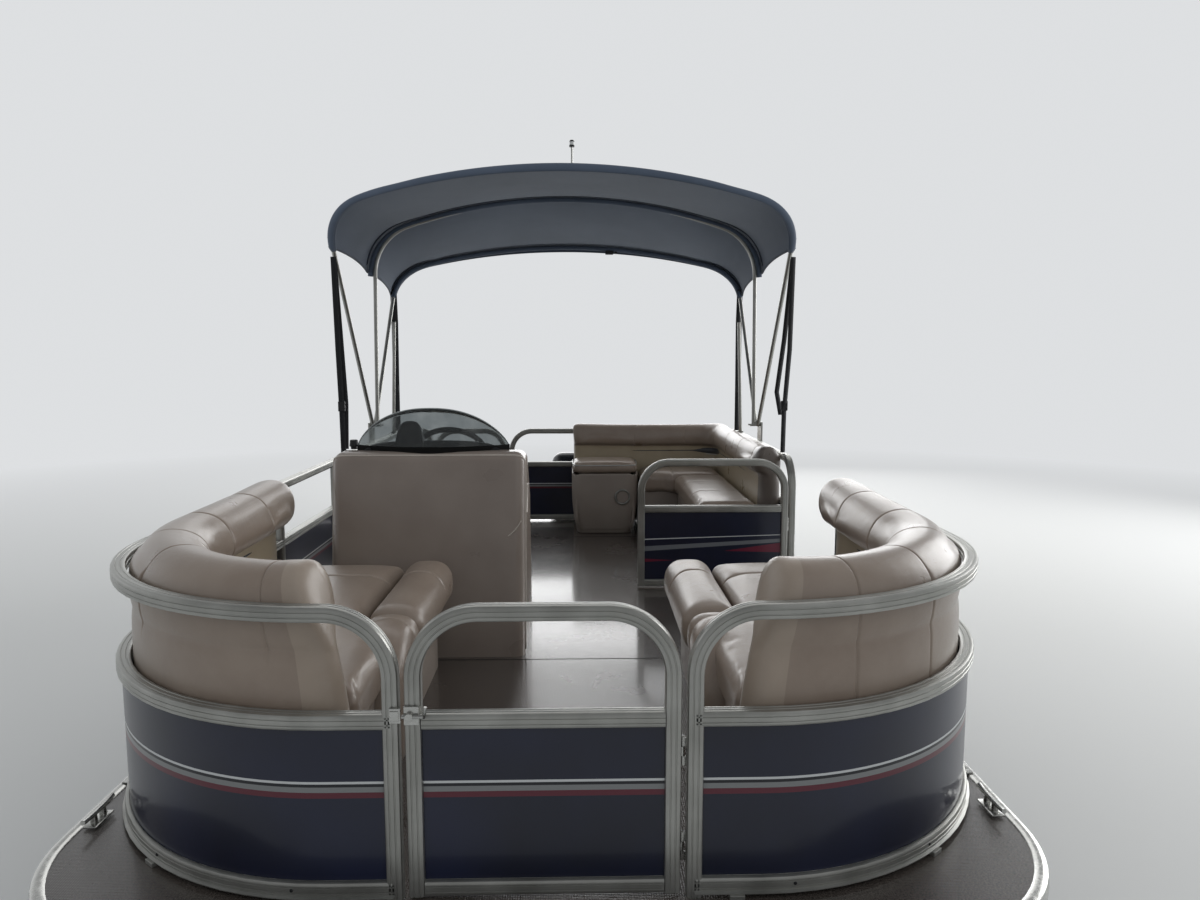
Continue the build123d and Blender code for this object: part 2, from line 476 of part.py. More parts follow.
def motor():
    """The motor is drawn running, from the tilt tube's centre, then tilted up as stored."""
    ears = []
    for s in (-1, 1):
        ear = box(*sorted((s * 84, s * 98)), TRANSOM_Y, TILT_Y + 28, TILT_Z - 230, TILT_Z + 30)
        ear += box(*sorted((s * 84, s * 98)), TRANSOM_Y - TRANSOM_T - 14, TRANSOM_Y, TILT_Z + 16, TILT_Z + 30)
        ears.append(ear)
    tilt_tube = cyl(TILT_TUBE_R - PIN_PLAY, (-104, TILT_Y, TILT_Z), (104, TILT_Y, TILT_Z))
    save("motor_clamp", ears[0] + ears[1] + tilt_tube)
    so = STEER_OFFSET
    swivel = cyl(34, (-78, 0, 0), (78, 0, 0)) + box(-40, 40, 0, so, -170, 20)
    swivel += cyl(36, (0, so, -180), (0, so, 24))
    swivel -= cyl(TILT_TUBE_R, (-90, 0, 0), (90, 0, 0))
    swivel -= cyl(STEER_PIN_R, (0, so, -190), (0, so, 40))
    save("motor_swivel", tilted(swivel))
    pin = cyl(STEER_PIN_R - PIN_PLAY, (0, so, -192), (0, so, 34))
    yokes = box(-60, 60, so - 34, so + 60, 30, 56) + box(-46, 46, so - 34, so + 62, -214, -186)
    leg = box(-50, 50, so + 46, so + 170, -PROP_DROP + 60, 50)
    leg = fillet(leg.edges().filter_by(Axis.Z), 40)
    pan = box(-120, 120, so - 60, so + 330, 50, COWL_BOTTOM - 2)
    pan = fillet(pan.edges().filter_by(Axis.Z), 50)
    save("motor_midsection", tilted(pin + yokes + leg + pan))
    cowl = box(-COWL_W / 2, COWL_W / 2, so - COWL_FRONT, so + COWL_AFT, COWL_BOTTOM, COWL_TOP)
    cowl = fillet(cowl.edges().filter_by(Axis.Z), 85)
    cowl = fillet(cowl.edges().group_by(Axis.Z)[-1], 55)
    wall = COWL_WALL
    room = box(wall - COWL_W / 2, COWL_W / 2 - wall, so - COWL_FRONT + wall, so + COWL_AFT - wall, 0,
               COWL_TOP - 2 * wall)
    cowl -= fillet(room.edges().filter_by(Axis.Z), 85 - wall)
    save("motor_cowl", tilted(cowl))
    save("motor_powerhead", tilted(box(-110, 110, so - 20, so + 300, COWL_BOTTOM, COWL_TOP - 60)))
    over = PROP_D / 2 - PROP_DROP + PLATE_GAP
    plate = box(-95, 95, so + 20, so + 330, over, over + 8)
    plate = fillet(plate.edges().filter_by(Axis.Z), 40)
    y0, y1 = so - 60, so + 250
    pod = cyl(52, (0, y0 + 60, -PROP_DROP), (0, y1, -PROP_DROP)) + Pos(0, y0 + 60, -PROP_DROP) * Sphere(52)
    neck = box(-34, 34, so + 30, so + 200, -PROP_DROP + 20, -PROP_DROP + 120)
    neck = fillet(neck.edges().filter_by(Axis.Z), 30)
    skeg = [(so + 60, -PROP_DROP - 30), (so + 210, -PROP_DROP - 30), (so + 190, -PROP_DROP - 170),
            (so + 130, -PROP_DROP - 170)]
    skeg = extrude(Plane.YZ * make_face(Polyline(*skeg, close=True)), 7, both=True)
    leg_room = box(-51, 51, so + 45, so + 171, -PROP_DROP + 60, 60)
    save("motor_gearcase", tilted(pod + neck + skeg + plate - leg_room))
    hub = cyl(44, (0, y1 + 3, -PROP_DROP), (0, y1 + 95, -PROP_DROP))
    for i in range(PROP_BLADES):
        blade = Rot(0, i * 360 / PROP_BLADES, 0) * Pos(PROP_D / 4, 0, 0) * Rot(24, 0, 0) * (
            extrude(Ellipse(PROP_D / 4, 52), 4, both=True))
        hub += Pos(0, y1 + 50, -PROP_DROP) * blade
    save("propeller", tilted(hub))


def arch(plane, length, half, hem=None):
    """A bow's line in its own plane, from the pivot's axis: legs, bent corners, cambered crown."""
    top = length - CROWN_RISE
    base = length - hem if hem else 0
    crown = ThreePointArc((-half, top), (0, length), (half, top)).edge()
    line = Wire([Line((-half, base), (-half, top)).edge(), crown, Line((half, top), (half, base)).edge()])
    corners = [v for v in line.vertices() if abs(v.Y - top) < 1]
    return plane * line.fillet_2d(BOW_CORNER_R, corners)


def bimini():
    """Three bows that fan about one pivot on each rail, the canopy over them, and two stays."""
    planes = {name: Plane(origin=(0, y, FLOOR_Z + BIMINI_PIVOT_Z), x_dir=(1, 0, 0),
                          z_dir=(0, -cos(radians(lean)), -sin(radians(lean))))
              for name, (y, lean) in BOWS.items()}
    for name, plane in planes.items():
        half = BIMINI_HALF - BOW_NEST[name]
        line = arch(plane, BOW_LENGTHS[name], half)
        start = Plane(origin=line @ 0, z_dir=line % 0)
        bow = sweep(start * Circle(BOW_TUBE / 2), line)
        at = plane.origin
        bow -= cyl(BOW_PIN_R, (-BEAM, at.Y, at.Z), (BEAM, at.Y, at.Z))
        save(f"bimini_{name}_bow", bow)
    foot = planes["mid"] * Pos(MAST_X, BOW_LENGTHS["mid"], 0) * Rot(-90, 0, 0)
    mast = Pos(0, 0, BOW_TUBE / 2 - 2) * Cylinder(MAST_R, MAST_L, align=UP)
    mast += Pos(0, 0, MAST_L) * Cylinder(MAST_R + 10, 34, align=UP)
    save("light_mast", foot * mast - NODES["bimini_mid_bow"])
    shells = []
    for lift in (CANOPY_LIFT, CANOPY_LIFT + CANOPY_T):
        rings = []
        for name in ("front", "mid", "rear"):
            outline = arch(planes[name], BOW_LENGTHS[name] + lift, BIMINI_HALF + lift, hem=CANOPY_DROP)
            rings.append(make_face(outline.edges() + [Edge.make_line(outline @ 1, outline @ 0)]))
        shells.append(loft(rings, ruled=True))
    inner, outer = shells
    hole = foot * Cylinder(MAST_R + 6, 2 * MAST_L)
    save("bimini_canopy", outer - inner - hole)
    mounts, stays = [], []
    for s in (-1, 1):
        foot = FLOOR_Z + RAIL_TOP
        x = sorted((s * (BIMINI_HALF + 15), s * (BIMINI_HALF + 25)))
        pivot = FLOOR_Z + BIMINI_PIVOT_Z
        plate = box(*x, BIMINI_PIVOT_Y - 26, BIMINI_PIVOT_Y + REAR_BOW_STEP + 26, foot, pivot + 22)
        for y in (BIMINI_PIVOT_Y, BIMINI_PIVOT_Y + REAR_BOW_STEP):
            inner, outer = s * (BIMINI_HALF - 52), s * (BIMINI_HALF + 20)
            plate += cyl(BOW_PIN_R - PIN_PLAY, (inner, y, pivot), (outer, y, pivot))
        mounts.append(plate)
        top = (s * (BIMINI_HALF - 26), STAY_Y - 40, FLOOR_Z + STAY_TOP_Z)
        x = s * (FENCE_HALF - TUBE / 2)
        pad = box(x - 15, x + 15, STAY_Y - 22, STAY_Y + 22, foot, foot + 10)
        stays.append(cyl(11, (x, STAY_Y, foot + 6), top) + pad)
    save("bimini_supports", *mounts, *stays)


def ladder():
    y, z, r = LADDER_Y, FLOOR_Z + LADDER_Z, LADDER_TUBE / 2
    x0, x1 = LADDER_X - LADDER_W / 2, LADDER_X + LADDER_W / 2
    stiles = [cyl(r, (x, y + 12, z), (x, y - LADDER_L, z)) - cyl(LADDER_PIN_R, (x - 50, y, z), (x + 50, y, z))
              for x in (x0, x1)]
    rungs = [cyl(r - 3, (x0 + r - 2, y - LADDER_L * f, z), (x1 - r + 2, y - LADDER_L * f, z))
             for f in (0.24, 0.49, 0.74, 0.97)]
    whole = stiles[0] + stiles[1]
    for rung in rungs:
        whole += rung
    save("boarding_ladder", whole)
    brackets = []
    for x, s in ((x0, -1), (x1, 1)):
        a = x + s * (r + 2)
        plate = box(*sorted((a, a + s * 6)), REAR_DECK_Y, y + 16, z - 70, z + 16)
        brackets.append(plate + cyl(LADDER_PIN_R - PIN_PLAY, (x - s * (r + 1), y, z), (a + s * 3, y, z)))
    save("ladder_brackets", *brackets)


# Places worked out from the sizes above
LOUNGE_FRONT = SIDE_GATE_Y + LOUNGE_GAP
CONSOLE_Y = COUCH_END + CONSOLE_GAP
CONSOLE_TOP_Y = CONSOLE_Y + CONSOLE_LEAN
BIMINI_PIVOT_Y = FENCE_LENGTH - BIMINI_AHEAD
CANOPY_LIFT = BOW_TUBE / 2 + CANOPY_GAP
CROWN_RISE = BIMINI_HALF * CROWN_SHARE
CANOPY_DROP = CROWN_RISE + CANOPY_HEM
EYE_R = 11
EYE_Y = NOSE_START - NOSE_LENGTH - 14
CROSS_PITCH = (REAR_DECK_Y - CROSS_LAST - CROSS_FIRST) / (CROSS_COUNT - 1)
POD_Y, POD_BOTTOM = REAR_DECK_Y - CROSS_LAST - CROSS_PITCH + 48, TILT_Z - 270
WELL_Y = REAR_DECK_Y - WELL_L
CLEAT_X, CLEAT_YS = BEAM / 2 - 55, (372, REAR_DECK_Y - 150)
STERN_ARCH_R = 60
STERN_POST_X = STERN_GATE_X - 2 * GATE_GAP - STERN_GATE_W
SIDE_GATE_FRONT = SIDE_GATE_Y - 2 * GATE_GAP - SIDE_GATE_W
HINGE_ZS = (BASE_Z + 60, MID_Z - 110)
HINGES = [
    {"name": "bow_gate", "run": "port_bow", "width": GATE_W, "closed": 180, "stored": 180,
     "pin": (POST_X - GATE_GAP / 2, TUBE + PIN_INSET)},
    {"name": "side_gate", "run": "port_stern", "width": SIDE_GATE_W, "closed": -90, "stored": -180,
     "pin": (FENCE_HALF - TUBE - PIN_INSET, SIDE_GATE_Y - GATE_GAP / 2)},
    {"name": "stern_gate", "run": "starboard", "width": STERN_GATE_W, "closed": 0, "stored": 0,
     "pin": (STERN_POST_X + GATE_GAP / 2, FENCE_LENGTH - TUBE - PIN_INSET)},
]
LOUNGE_SPLIT = FENCE_LENGTH - LOUNGE_DEPTH - 60
END_LID_Y = FENCE_LENGTH - TUBE - COUCH_GAP - ROLL_T + 40 - 12
DASH_Y, DASH_END_Y, DASH_END_Z = CONSOLE_TOP_Y + 150, CONSOLE_TOP_Y + 370, CONSOLE_H - 240
SCREEN_Y, SCREEN_SAG = CONSOLE_TOP_Y + 25, 120
DASH_ANGLE = atan2(CONSOLE_H - DASH_END_Z, DASH_END_Y - DASH_Y)
WHEEL_NORMAL = (0, sin(DASH_ANGLE), cos(DASH_ANGLE))
WHEEL_STEM = 120
WHEEL_AT = (WHEEL_X, (DASH_Y + DASH_END_Y) / 2 + WHEEL_STEM * sin(DASH_ANGLE),
            FLOOR_Z + (CONSOLE_H + DASH_END_Z) / 2 + WHEEL_STEM * cos(DASH_ANGLE))
THROTTLE_Y = DASH_END_Y - 60
COWL_BOTTOM, COWL_TOP = 96, 480
COWL_W, COWL_FRONT, COWL_AFT, COWL_WALL = 330, 70, 390, 16
PLATE_GAP = 12           # propeller's tips to the plate over them
# bow: its foot's place and its lean forward in degrees
BOWS = {"front": (BIMINI_PIVOT_Y, BOW_LEAN), "mid": (BIMINI_PIVOT_Y, -3),
        "rear": (BIMINI_PIVOT_Y + REAR_BOW_STEP, -BOW_LEAN)}
BOW_NEST = {"front": 0, "mid": 30, "rear": 0}
STAY_Y, STAY_TOP_Z = FENCE_LENGTH - 350, 1500
LADDER_Y, LADDER_Z = REAR_DECK_Y + 22, 26

for build in (hull, deck, fences, gates, seats, helm, motor, bimini, ladder):
    build()

boxes = [shape.bounding_box() for shape in NODES.values()]
SHIFT_Y = -(min(b.min.Y for b in boxes) + max(b.max.Y for b in boxes)) / 2
for node, shape in NODES.items():
    export_step(Pos(0, SHIFT_Y, 0) * shape, f"parts/{node}.step")
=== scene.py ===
from math import atan2, copysign, cos, hypot, pi, radians, sin

import bmesh
import bpy
from mathutils import Matrix, Vector


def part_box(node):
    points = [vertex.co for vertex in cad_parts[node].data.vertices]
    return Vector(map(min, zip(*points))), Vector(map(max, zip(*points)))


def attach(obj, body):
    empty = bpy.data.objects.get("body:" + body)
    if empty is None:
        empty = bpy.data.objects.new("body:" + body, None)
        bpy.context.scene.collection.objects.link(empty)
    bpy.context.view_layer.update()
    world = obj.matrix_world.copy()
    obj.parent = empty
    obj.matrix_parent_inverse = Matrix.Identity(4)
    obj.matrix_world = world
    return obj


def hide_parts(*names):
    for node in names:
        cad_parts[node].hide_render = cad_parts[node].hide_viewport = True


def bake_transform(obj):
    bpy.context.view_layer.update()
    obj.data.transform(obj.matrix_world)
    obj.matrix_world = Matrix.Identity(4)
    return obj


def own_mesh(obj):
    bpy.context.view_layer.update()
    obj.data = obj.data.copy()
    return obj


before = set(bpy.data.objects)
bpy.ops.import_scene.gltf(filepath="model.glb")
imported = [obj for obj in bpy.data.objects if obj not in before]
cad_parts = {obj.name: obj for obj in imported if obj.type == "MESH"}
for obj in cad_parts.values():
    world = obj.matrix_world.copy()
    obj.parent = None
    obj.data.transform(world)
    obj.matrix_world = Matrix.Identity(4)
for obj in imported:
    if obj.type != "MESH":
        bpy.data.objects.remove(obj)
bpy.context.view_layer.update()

# A pontoon boat, in metres: +X is port, +Y is aft, +Z is up.
# Places are given from the bow gate's front face and from the floor, as at() turns them into the frame's own.
GATE_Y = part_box("bow_gate_skin")[0].y - 0.013     # the skin lies that far behind the gate's face
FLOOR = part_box("deck_floor")[1].z
WATER = 0.21                                      # draft, keels to waterline
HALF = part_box("fence_port_bow")[1].x              # the fence's outer face
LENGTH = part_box("fence_port_stern")[1].y - GATE_Y
UP, AFT, PORT = Vector((0, 0, 1)), Vector((0, 1, 0)), Vector((1, 0, 0))

# Fence
TUBE = 0.038
TUBE_CORNER, GROOVE_W, GROOVE_D = 0.007, 0.004, 0.0016
LIP = 0.007                                       # how far the bottom rail's lip stands out
FRONT_R, REAR_R, ARCH_R, STERN_ARCH_R = 0.760, 0.150, 0.170, 0.060
BASE_Z, MID_Z, TOP_Z = 0.012, 0.420, 0.674        # undersides of the rails
POST_X = 0.333                                    # inboard face of the bow gate's posts
STERN_PORT_X, STERN_STARBOARD_X = -0.450, -1.038  # posts on each side of the stern gate
SIDE_DOOR = (1.891, 2.739)                        # posts ahead of and behind the side gate's opening
POST_FIRST, POST_PITCH = FRONT_R + 0.260, 0.880

# Couches
SHELL_INSET = 0.053                               # fence face to the backrest's outer face
BACK_T, ROLL_Z = 0.110, 0.560
COUCH_INNER, COUCH_END = 0.450, 1.530
SEAT_BASE, SEAT_TOP = 0.307, 0.430

# Camera, fitted to the photograph
CAMERA_AT = (0.084, -1.889, 1.279)
CAMERA_DOWN, CAMERA_TO_PORT = 0.112, 0.024
FOCAL_PX, IMAGE_W, SENSOR = 857.2, 1200, 36


def at(x, y, z):
    return Vector((x, GATE_Y + y, FLOOR + z))


def colour(hex_value):
    """An sRGB hex value as linear RGBA."""
    parts = [(hex_value >> shift & 255) / 255 for shift in (16, 8, 0)]
    return [c / 12.92 if c <= 0.04045 else ((c + 0.055) / 1.055) ** 2.4 for c in parts] + [1]


def add(tree, kind, links=None, **settings):
    """Adds a node, sets its properties and unlinked sockets, and links the sockets named in links."""
    node = tree.nodes.new("ShaderNode" + kind)
    for name, value in settings.items():
        if hasattr(node, name):
            setattr(node, name, value)
        else:
            node.inputs[name.replace("_", " ")].default_value = value
    for name, source in (links or {}).items():
        tree.links.new(source, node.inputs[name])
    return node


def material(name, base, **settings):
    """A material whose Principled shader has these values; returns it with its tree and shader."""
    made = bpy.data.materials.new(name)
    made.use_nodes = True
    tree = made.node_tree
    shader = tree.nodes["Principled BSDF"]
    shader.inputs["Base Color"].default_value = colour(base)
    for socket, value in settings.items():
        shader.inputs[socket.replace("_", " ")].default_value = value
    return made, tree, shader


def feed(tree, socket, source):
    """Links an output to a socket, or sets the socket's own value, which is a hex value where it is a colour."""
    if isinstance(source, bpy.types.NodeSocket):
        tree.links.new(source, socket)
    else:
        socket.default_value = colour(source) if socket.type == "RGBA" else source


def maths(tree, operation, *terms):
    """The result of a Math node; its terms are numbers or outputs."""
    node = add(tree, "Math", operation=operation)
    for socket, term in zip(node.inputs, terms):
        feed(tree, socket, term)
    return node.outputs[0]


def mixed(tree, share, low, high):
    """Two colours, as hex values or outputs, mixed by a share from 0 to 1."""
    mix = add(tree, "Mix", data_type="RGBA")
    for socket, source in ((0, share), (6, low), (7, high)):
        feed(tree, mix.inputs[socket], source)
    return mix.outputs[2]


def spread(tree, value, low, high, to_low=0.0, to_high=1.0):
    """A value's range low to high stretched to another range and clamped."""
    return add(tree, "MapRange", {"Value": value}, From_Min=low, From_Max=high, To_Min=to_low,
               To_Max=to_high).outputs["Result"]


def place_of(tree, stretch=(1, 1, 1)):
    """Object coordinates, multiplied along each axis."""
    where = add(tree, "TexCoord")
    return add(tree, "Mapping", {"Vector": where.outputs["Object"]}, Scale=stretch).outputs["Vector"]


def noise(tree, scale, detail, stretch=(1, 1, 1), **settings):
    pattern = add(tree, "TexNoise", {"Vector": place_of(tree, stretch)}, Scale=scale, Detail=detail, **settings)
    return pattern.outputs["Fac"]


def weave(tree, scale, distortion):
    """Ribs across and along, added."""
    ribs = [add(tree, "TexWave", {"Vector": place_of(tree)}, wave_type="BANDS", bands_direction=way, Scale=scale,
                Distortion=distortion).outputs["Fac"] for way in "XY"]
    return maths(tree, "ADD", *ribs)


def tint(tree, shader, pattern, low, high, span=(0.3, 0.7)):
    """Mixes the base colour from two tones over a span of the pattern's values."""
    tree.links.new(mixed(tree, spread(tree, pattern, *span), low, high), shader.inputs["Base Color"])


def gloss(tree, shader, pattern, low, high, span=(0.3, 0.7)):
    """Varies the roughness between two values over a span of the pattern's values."""
    tree.links.new(spread(tree, pattern, *span, low, high), shader.inputs["Roughness"])


def bump(tree, shader, height, distance, strength):
    node = add(tree, "Bump", {"Height": height}, Strength=strength, Distance=distance)
    tree.links.new(node.outputs["Normal"], shader.inputs["Normal"])


def anodised_rail():
    """Satin anodised extrusion: even pale grey, soft highlights, a very fine grit and dull patches."""
    made, tree, shader = material("anodised_rail", 0xA6A7A3, Metallic=0.85, Roughness=0.36)
    dull = noise(tree, 9.0, 4.0)
    tint(tree, shader, dull, 0xA4A49F, 0xBDBDB8, (0.35, 0.7))
    gloss(tree, shader, dull, 0.28, 0.42)
    bump(tree, shader, noise(tree, 900.0, 2.0), 0.0002, 0.35)
    return made


def mill_aluminium():
    """Unpolished rolled sheet: brighter than the rails, with lengthwise mill lines and grey water stains."""
    made, tree, shader = material("mill_aluminium", 0xBDBEBC, Metallic=0.9, Roughness=0.34)
    lines = noise(tree, 5.0, 6.0, (60, 1.2, 60))
    tint(tree, shader, noise(tree, 2.2, 5.0), 0xC4C5C3, 0x9FA09E, (0.35, 0.72))
    gloss(tree, shader, lines, 0.26, 0.46)
    bump(tree, shader, lines, 0.0006, 0.3)
    return made


def bright_aluminium():
    """Polished and clear-anodised trim and castings: bright, with short buffing streaks and thumbed patches."""
    made, tree, shader = material("bright_aluminium", 0xCFCFCB, Metallic=1.0, Roughness=0.22)
    streaks = noise(tree, 14.0, 5.0, (4, 4, 30))
    tint(tree, shader, streaks, 0xC3C3BF, 0xDADAD6)
    gloss(tree, shader, streaks, 0.16, 0.32)
    bump(tree, shader, streaks, 0.0004, 0.2)
    return made


# Painted bands, as lower edge, upper edge and colour. An edge is its height over the floor at X 0 and at X 1
LEVEL_BANDS = [((low, low), (high, high), paint) for low, high, paint in
               ((0.2865, 0.2925, 0xC9CBCB), (0.279, 0.2865, 0x0B0E18), (0.266, 0.279, 0x7D7F7F),
                (0.252, 0.266, 0x5A1226))]
SLANTED_BANDS = (((0.179, 0.241), (0.210, 0.262), 0x6E7175), ((0.231, 0.201), (0.080, 0.223), 0x6A1430),
                 ((0.122, 0.176), (0.190, 0.130), 0x6A1430), ((0.256, 0.286), (0.262, 0.290), 0xC9CBCB))


def navy_gelcoat(name, bands):
    """Gloss navy paint on aluminium sheet: deep colour under a clear coat, faint orange peel, painted bands."""
    made, tree, shader = material(name, 0x0D1430, Roughness=0.36, Coat_Weight=0.4, Coat_Roughness=0.10)
    place = add(tree, "SeparateXYZ", {"Vector": place_of(tree)})
    height = maths(tree, "SUBTRACT", place.outputs["Z"], FLOOR)
    painted = mixed(tree, spread(tree, noise(tree, 3.0, 5.0), 0.3, 0.7), 0x080E24, 0x101835)
    for *edges, paint in bands:
        sides = []
        for (start, end), test in zip(edges, ("GREATER_THAN", "LESS_THAN")):
            edge = maths(tree, "MULTIPLY_ADD", place.outputs["X"], end - start, start)
            sides.append(maths(tree, test, height, edge))
        painted = mixed(tree, maths(tree, "MULTIPLY", *sides), painted, paint)
    tree.links.new(painted, shader.inputs["Base Color"])
    bump(tree, shader, noise(tree, 160.0, 1.0), 0.0004, 0.12)
    return made


def marine_vinyl(name, low, high, rough=(0.26, 0.40)):
    """Expanded marine vinyl: a soft leather grain of about 1.5 mm, satin sheen, rubbed paler in broad patches."""
    made, tree, shader = material(name, high, Coat_Weight=0.3, Coat_Roughness=0.2)
    wear = noise(tree, 5.0, 6.0, Roughness=0.6)
    tint(tree, shader, wear, low, high, (0.22, 0.78))
    gloss(tree, shader, wear, *rough)
    grain = add(tree, "TexVoronoi", {"Vector": place_of(tree)}, feature="DISTANCE_TO_EDGE", Scale=420.0)
    small = maths(tree, "MULTIPLY", spread(tree, grain.outputs["Distance"], 0.0, 0.25), 0.12)
    bump(tree, shader, maths(tree, "ADD", small, noise(tree, 28.0, 3.0)), 0.0018, 0.6)
    return made


def deck_vinyl():
    """Woven vinyl decking, worn smooth: grey brown with paler flecks, a fine weave, damp sheen."""
    made, tree, shader = material("deck_vinyl", 0x4A4340, Specular_IOR_Level=0.5, Coat_Weight=0.9,
                                  Coat_Roughness=0.12)
    patch = noise(tree, 1.6, 7.0, Roughness=0.65)
    ground = mixed(tree, spread(tree, patch, 0.3, 0.7), 0x3A3430, 0x4C4540)
    flecks = spread(tree, noise(tree, 240.0, 2.0), 0.35, 0.7, 0.0, 0.6)
    tree.links.new(mixed(tree, flecks, ground, 0x625B55), shader.inputs["Base Color"])
    gloss(tree, shader, patch, 0.16, 0.32)
    bump(tree, shader, weave(tree, 52.0, 0.6), 0.0010, 0.35)
    return made


def canvas(name, low, high, thread=0.004):
    """Solution-dyed acrylic canvas: matt, a plain weave drawn at the thread's width, faded in soft clouds."""
    made, tree, shader = material(name, high, Roughness=0.85, Sheen_Weight=0.25, Sheen_Roughness=0.5)
    tint(tree, shader, noise(tree, 1.4, 6.0, Roughness=0.6), low, high)
    bump(tree, shader, weave(tree, 1 / (pi * thread), 0.4), 0.0006, 0.4)
    return made


def moulded(name, low, high, rough=0.32, grain=0.15, coat=0.0):
    """Moulded plastic or gelcoat: even colour with faint flow clouds, a fine stipple and soft gloss."""
    made, tree, shader = material(name, high, Roughness=rough, Coat_Weight=coat, Coat_Roughness=0.1)
    cloud = noise(tree, 3.5, 5.0)
    tint(tree, shader, cloud, low, high)
    gloss(tree, shader, cloud, rough * 0.85, rough * 1.2)
    bump(tree, shader, noise(tree, 480.0, 2.0), 0.0005, grain)
    return made


def smoked_acrylic():
    """Smoked acrylic sheet: dark and see-through, with a mirror gloss and light dust in patches."""
    made, tree, shader = material("smoked_acrylic", 0x8A8F90, IOR=1.49, Transmission_Weight=0.95, Roughness=0.04)
    dust, span = noise(tree, 14.0, 6.0), (0.4, 0.75)
    tint(tree, shader, dust, 0x7C8283, 0x959A9A, span)
    gloss(tree, shader, dust, 0.02, 0.10, span)
    return made


MATERIALS = {
    "rail": anodised_rail(),
    "mill": mill_aluminium(),
    "skin": navy_gelcoat("navy_gelcoat", LEVEL_BANDS),
    "side_skin": navy_gelcoat("navy_gelcoat_slanted", SLANTED_BANDS),
    "vinyl": marine_vinyl("taupe_marine_vinyl", 0x87776A, 0x9C8D7F),
    "tan": marine_vinyl("tan_marine_vinyl", 0x9E9078, 0xAFA087),
    # A lighter copy of the taupe vinyl for the couches' end panels: painted light on the same vinyl
    "painted_light_vinyl": marine_vinyl("taupe_vinyl_painted_light", 0x978879, 0xA8998A),
    # A darker copy of the taupe vinyl for the lounge backrest's front end: painted shade on the same vinyl
    "painted_shade_cap_vinyl": marine_vinyl("taupe_vinyl_painted_shade", 0x5E554E, 0x6F655D),
    # Charcoal vinyl: the couches' accent panels, and on the lounge painted shade under the roll
    "accent_and_painted_shade": marine_vinyl("charcoal_marine_vinyl", 0x33363A, 0x4A4D50, (0.22, 0.36)),
    "piping": marine_vinyl("silver_piping", 0x9C9C98, 0xB5B5B0, (0.25, 0.35)),
    "deck": deck_vinyl(),
    "canvas": canvas("slate_canvas", 0x4C5869, 0x5F6B7D),
    "webbing": canvas("black_webbing", 0x141517, 0x202226, 0.003),
    "console": moulded("taupe_gelcoat", 0x857970, 0x94887E, 0.30, 0.08, 0.3),
    "base": moulded("moulded_seat_base", 0x8B8077, 0x9A8F85, 0.42, 0.25),
    "black": moulded("black_plastic", 0x17181A, 0x232427, 0.38, 0.3),
    "rubber": moulded("black_rubber", 0x101112, 0x1B1C1D, 0.62, 0.5),
    "enamel": moulded("black_motor_enamel", 0x121316, 0x1C1E22, 0.24, 0.05, 0.5),
    "powder": moulded("grey_powder_coat", 0x2C2D30, 0x3A3B3E, 0.45, 0.4),
    "smoke": smoked_acrylic(),
    "white": moulded("white_plastic", 0xD8D8D4, 0xE2E2DE, 0.35, 0.1),
    # A pale bead on the console's top edge, also standing for the painted highlights on its round front edges and in a
    # recess
    "bead": moulded("pale_bead_painted_highlight", 0xB4AA9F, 0xC4BBB1, 0.28, 0.05, 0.3),
    "thread": canvas("canopy_thread", 0x232C3A, 0x323C4B, 0.002),
    # The windscreen's edge: pale for the highlight along it, painted
    "screen_edge": moulded("acrylic_edge_painted_highlight", 0x8E9393, 0xA6ABAA, 0.15, 0.02, 0.3),
    "bright": bright_aluminium(),
}


def piece(name, bm, finish, body, stands_for=(), sharp=40, subdivide=0, bevel=0.0):
    """Turns a bmesh into a piece that rides on a body."""
    bmesh.ops.remove_doubles(bm, verts=bm.verts, dist=0.00002)
    bmesh.ops.recalc_face_normals(bm, faces=bm.faces)
    mesh = bpy.data.meshes.new(name)
    bm.to_mesh(mesh)
    bm.free()
    obj = bpy.data.objects.new(name, mesh)
    bpy.context.scene.collection.objects.link(obj)
    shades = finish if isinstance(finish, tuple) else (finish,)
    for shade in shades:
        mesh.materials.append(MATERIALS[shade])
    mesh.shade_smooth()
    if sharp:
        mesh.set_sharp_from_angle(angle=radians(sharp))
    if bevel:
        edge = obj.modifiers.new("edge", "BEVEL")
        edge.width, edge.segments, edge.limit_method, edge.angle_limit = bevel, 2, "ANGLE", radians(35)
        edge.harden_normals = True
    if subdivide:
        smooth = obj.modifiers.new("smooth", "SUBSURF")
        smooth.levels = smooth.render_levels = subdivide
    if body:
        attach(obj, body)
    if stands_for:
        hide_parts(*stands_for)
    return obj


def turned(normal, centre):
    """A frame whose Z is a normal, at a centre."""
    return Matrix.Translation(centre) @ Vector(normal).to_track_quat("Z", "Y").to_matrix().to_4x4()


def block(bm, size, matrix):
    """Adds a box of a size, centred in a frame."""
    made = bmesh.ops.create_cube(bm, size=1)["verts"]
    bmesh.ops.scale(bm, verts=made, vec=size)
    bmesh.ops.transform(bm, matrix=matrix, verts=made)
    return made


def slab(bm, low, high):
    """Adds a box between two corners, given as for at()."""
    low, high = at(*low), at(*high)
    block(bm, high - low, Matrix.Translation((low + high) / 2))


def disc(bm, foot, normal, radius, height, top=None, segments=28):
    """Adds a round boss; a top radius makes it taper."""
    made = bmesh.ops.create_cone(bm, cap_ends=True, segments=segments, radius1=radius,
                                 radius2=radius if top is None else top, depth=height)["verts"]
    bmesh.ops.translate(bm, verts=made, vec=(0, 0, height / 2))
    bmesh.ops.transform(bm, matrix=turned(normal, foot), verts=made)
    return made


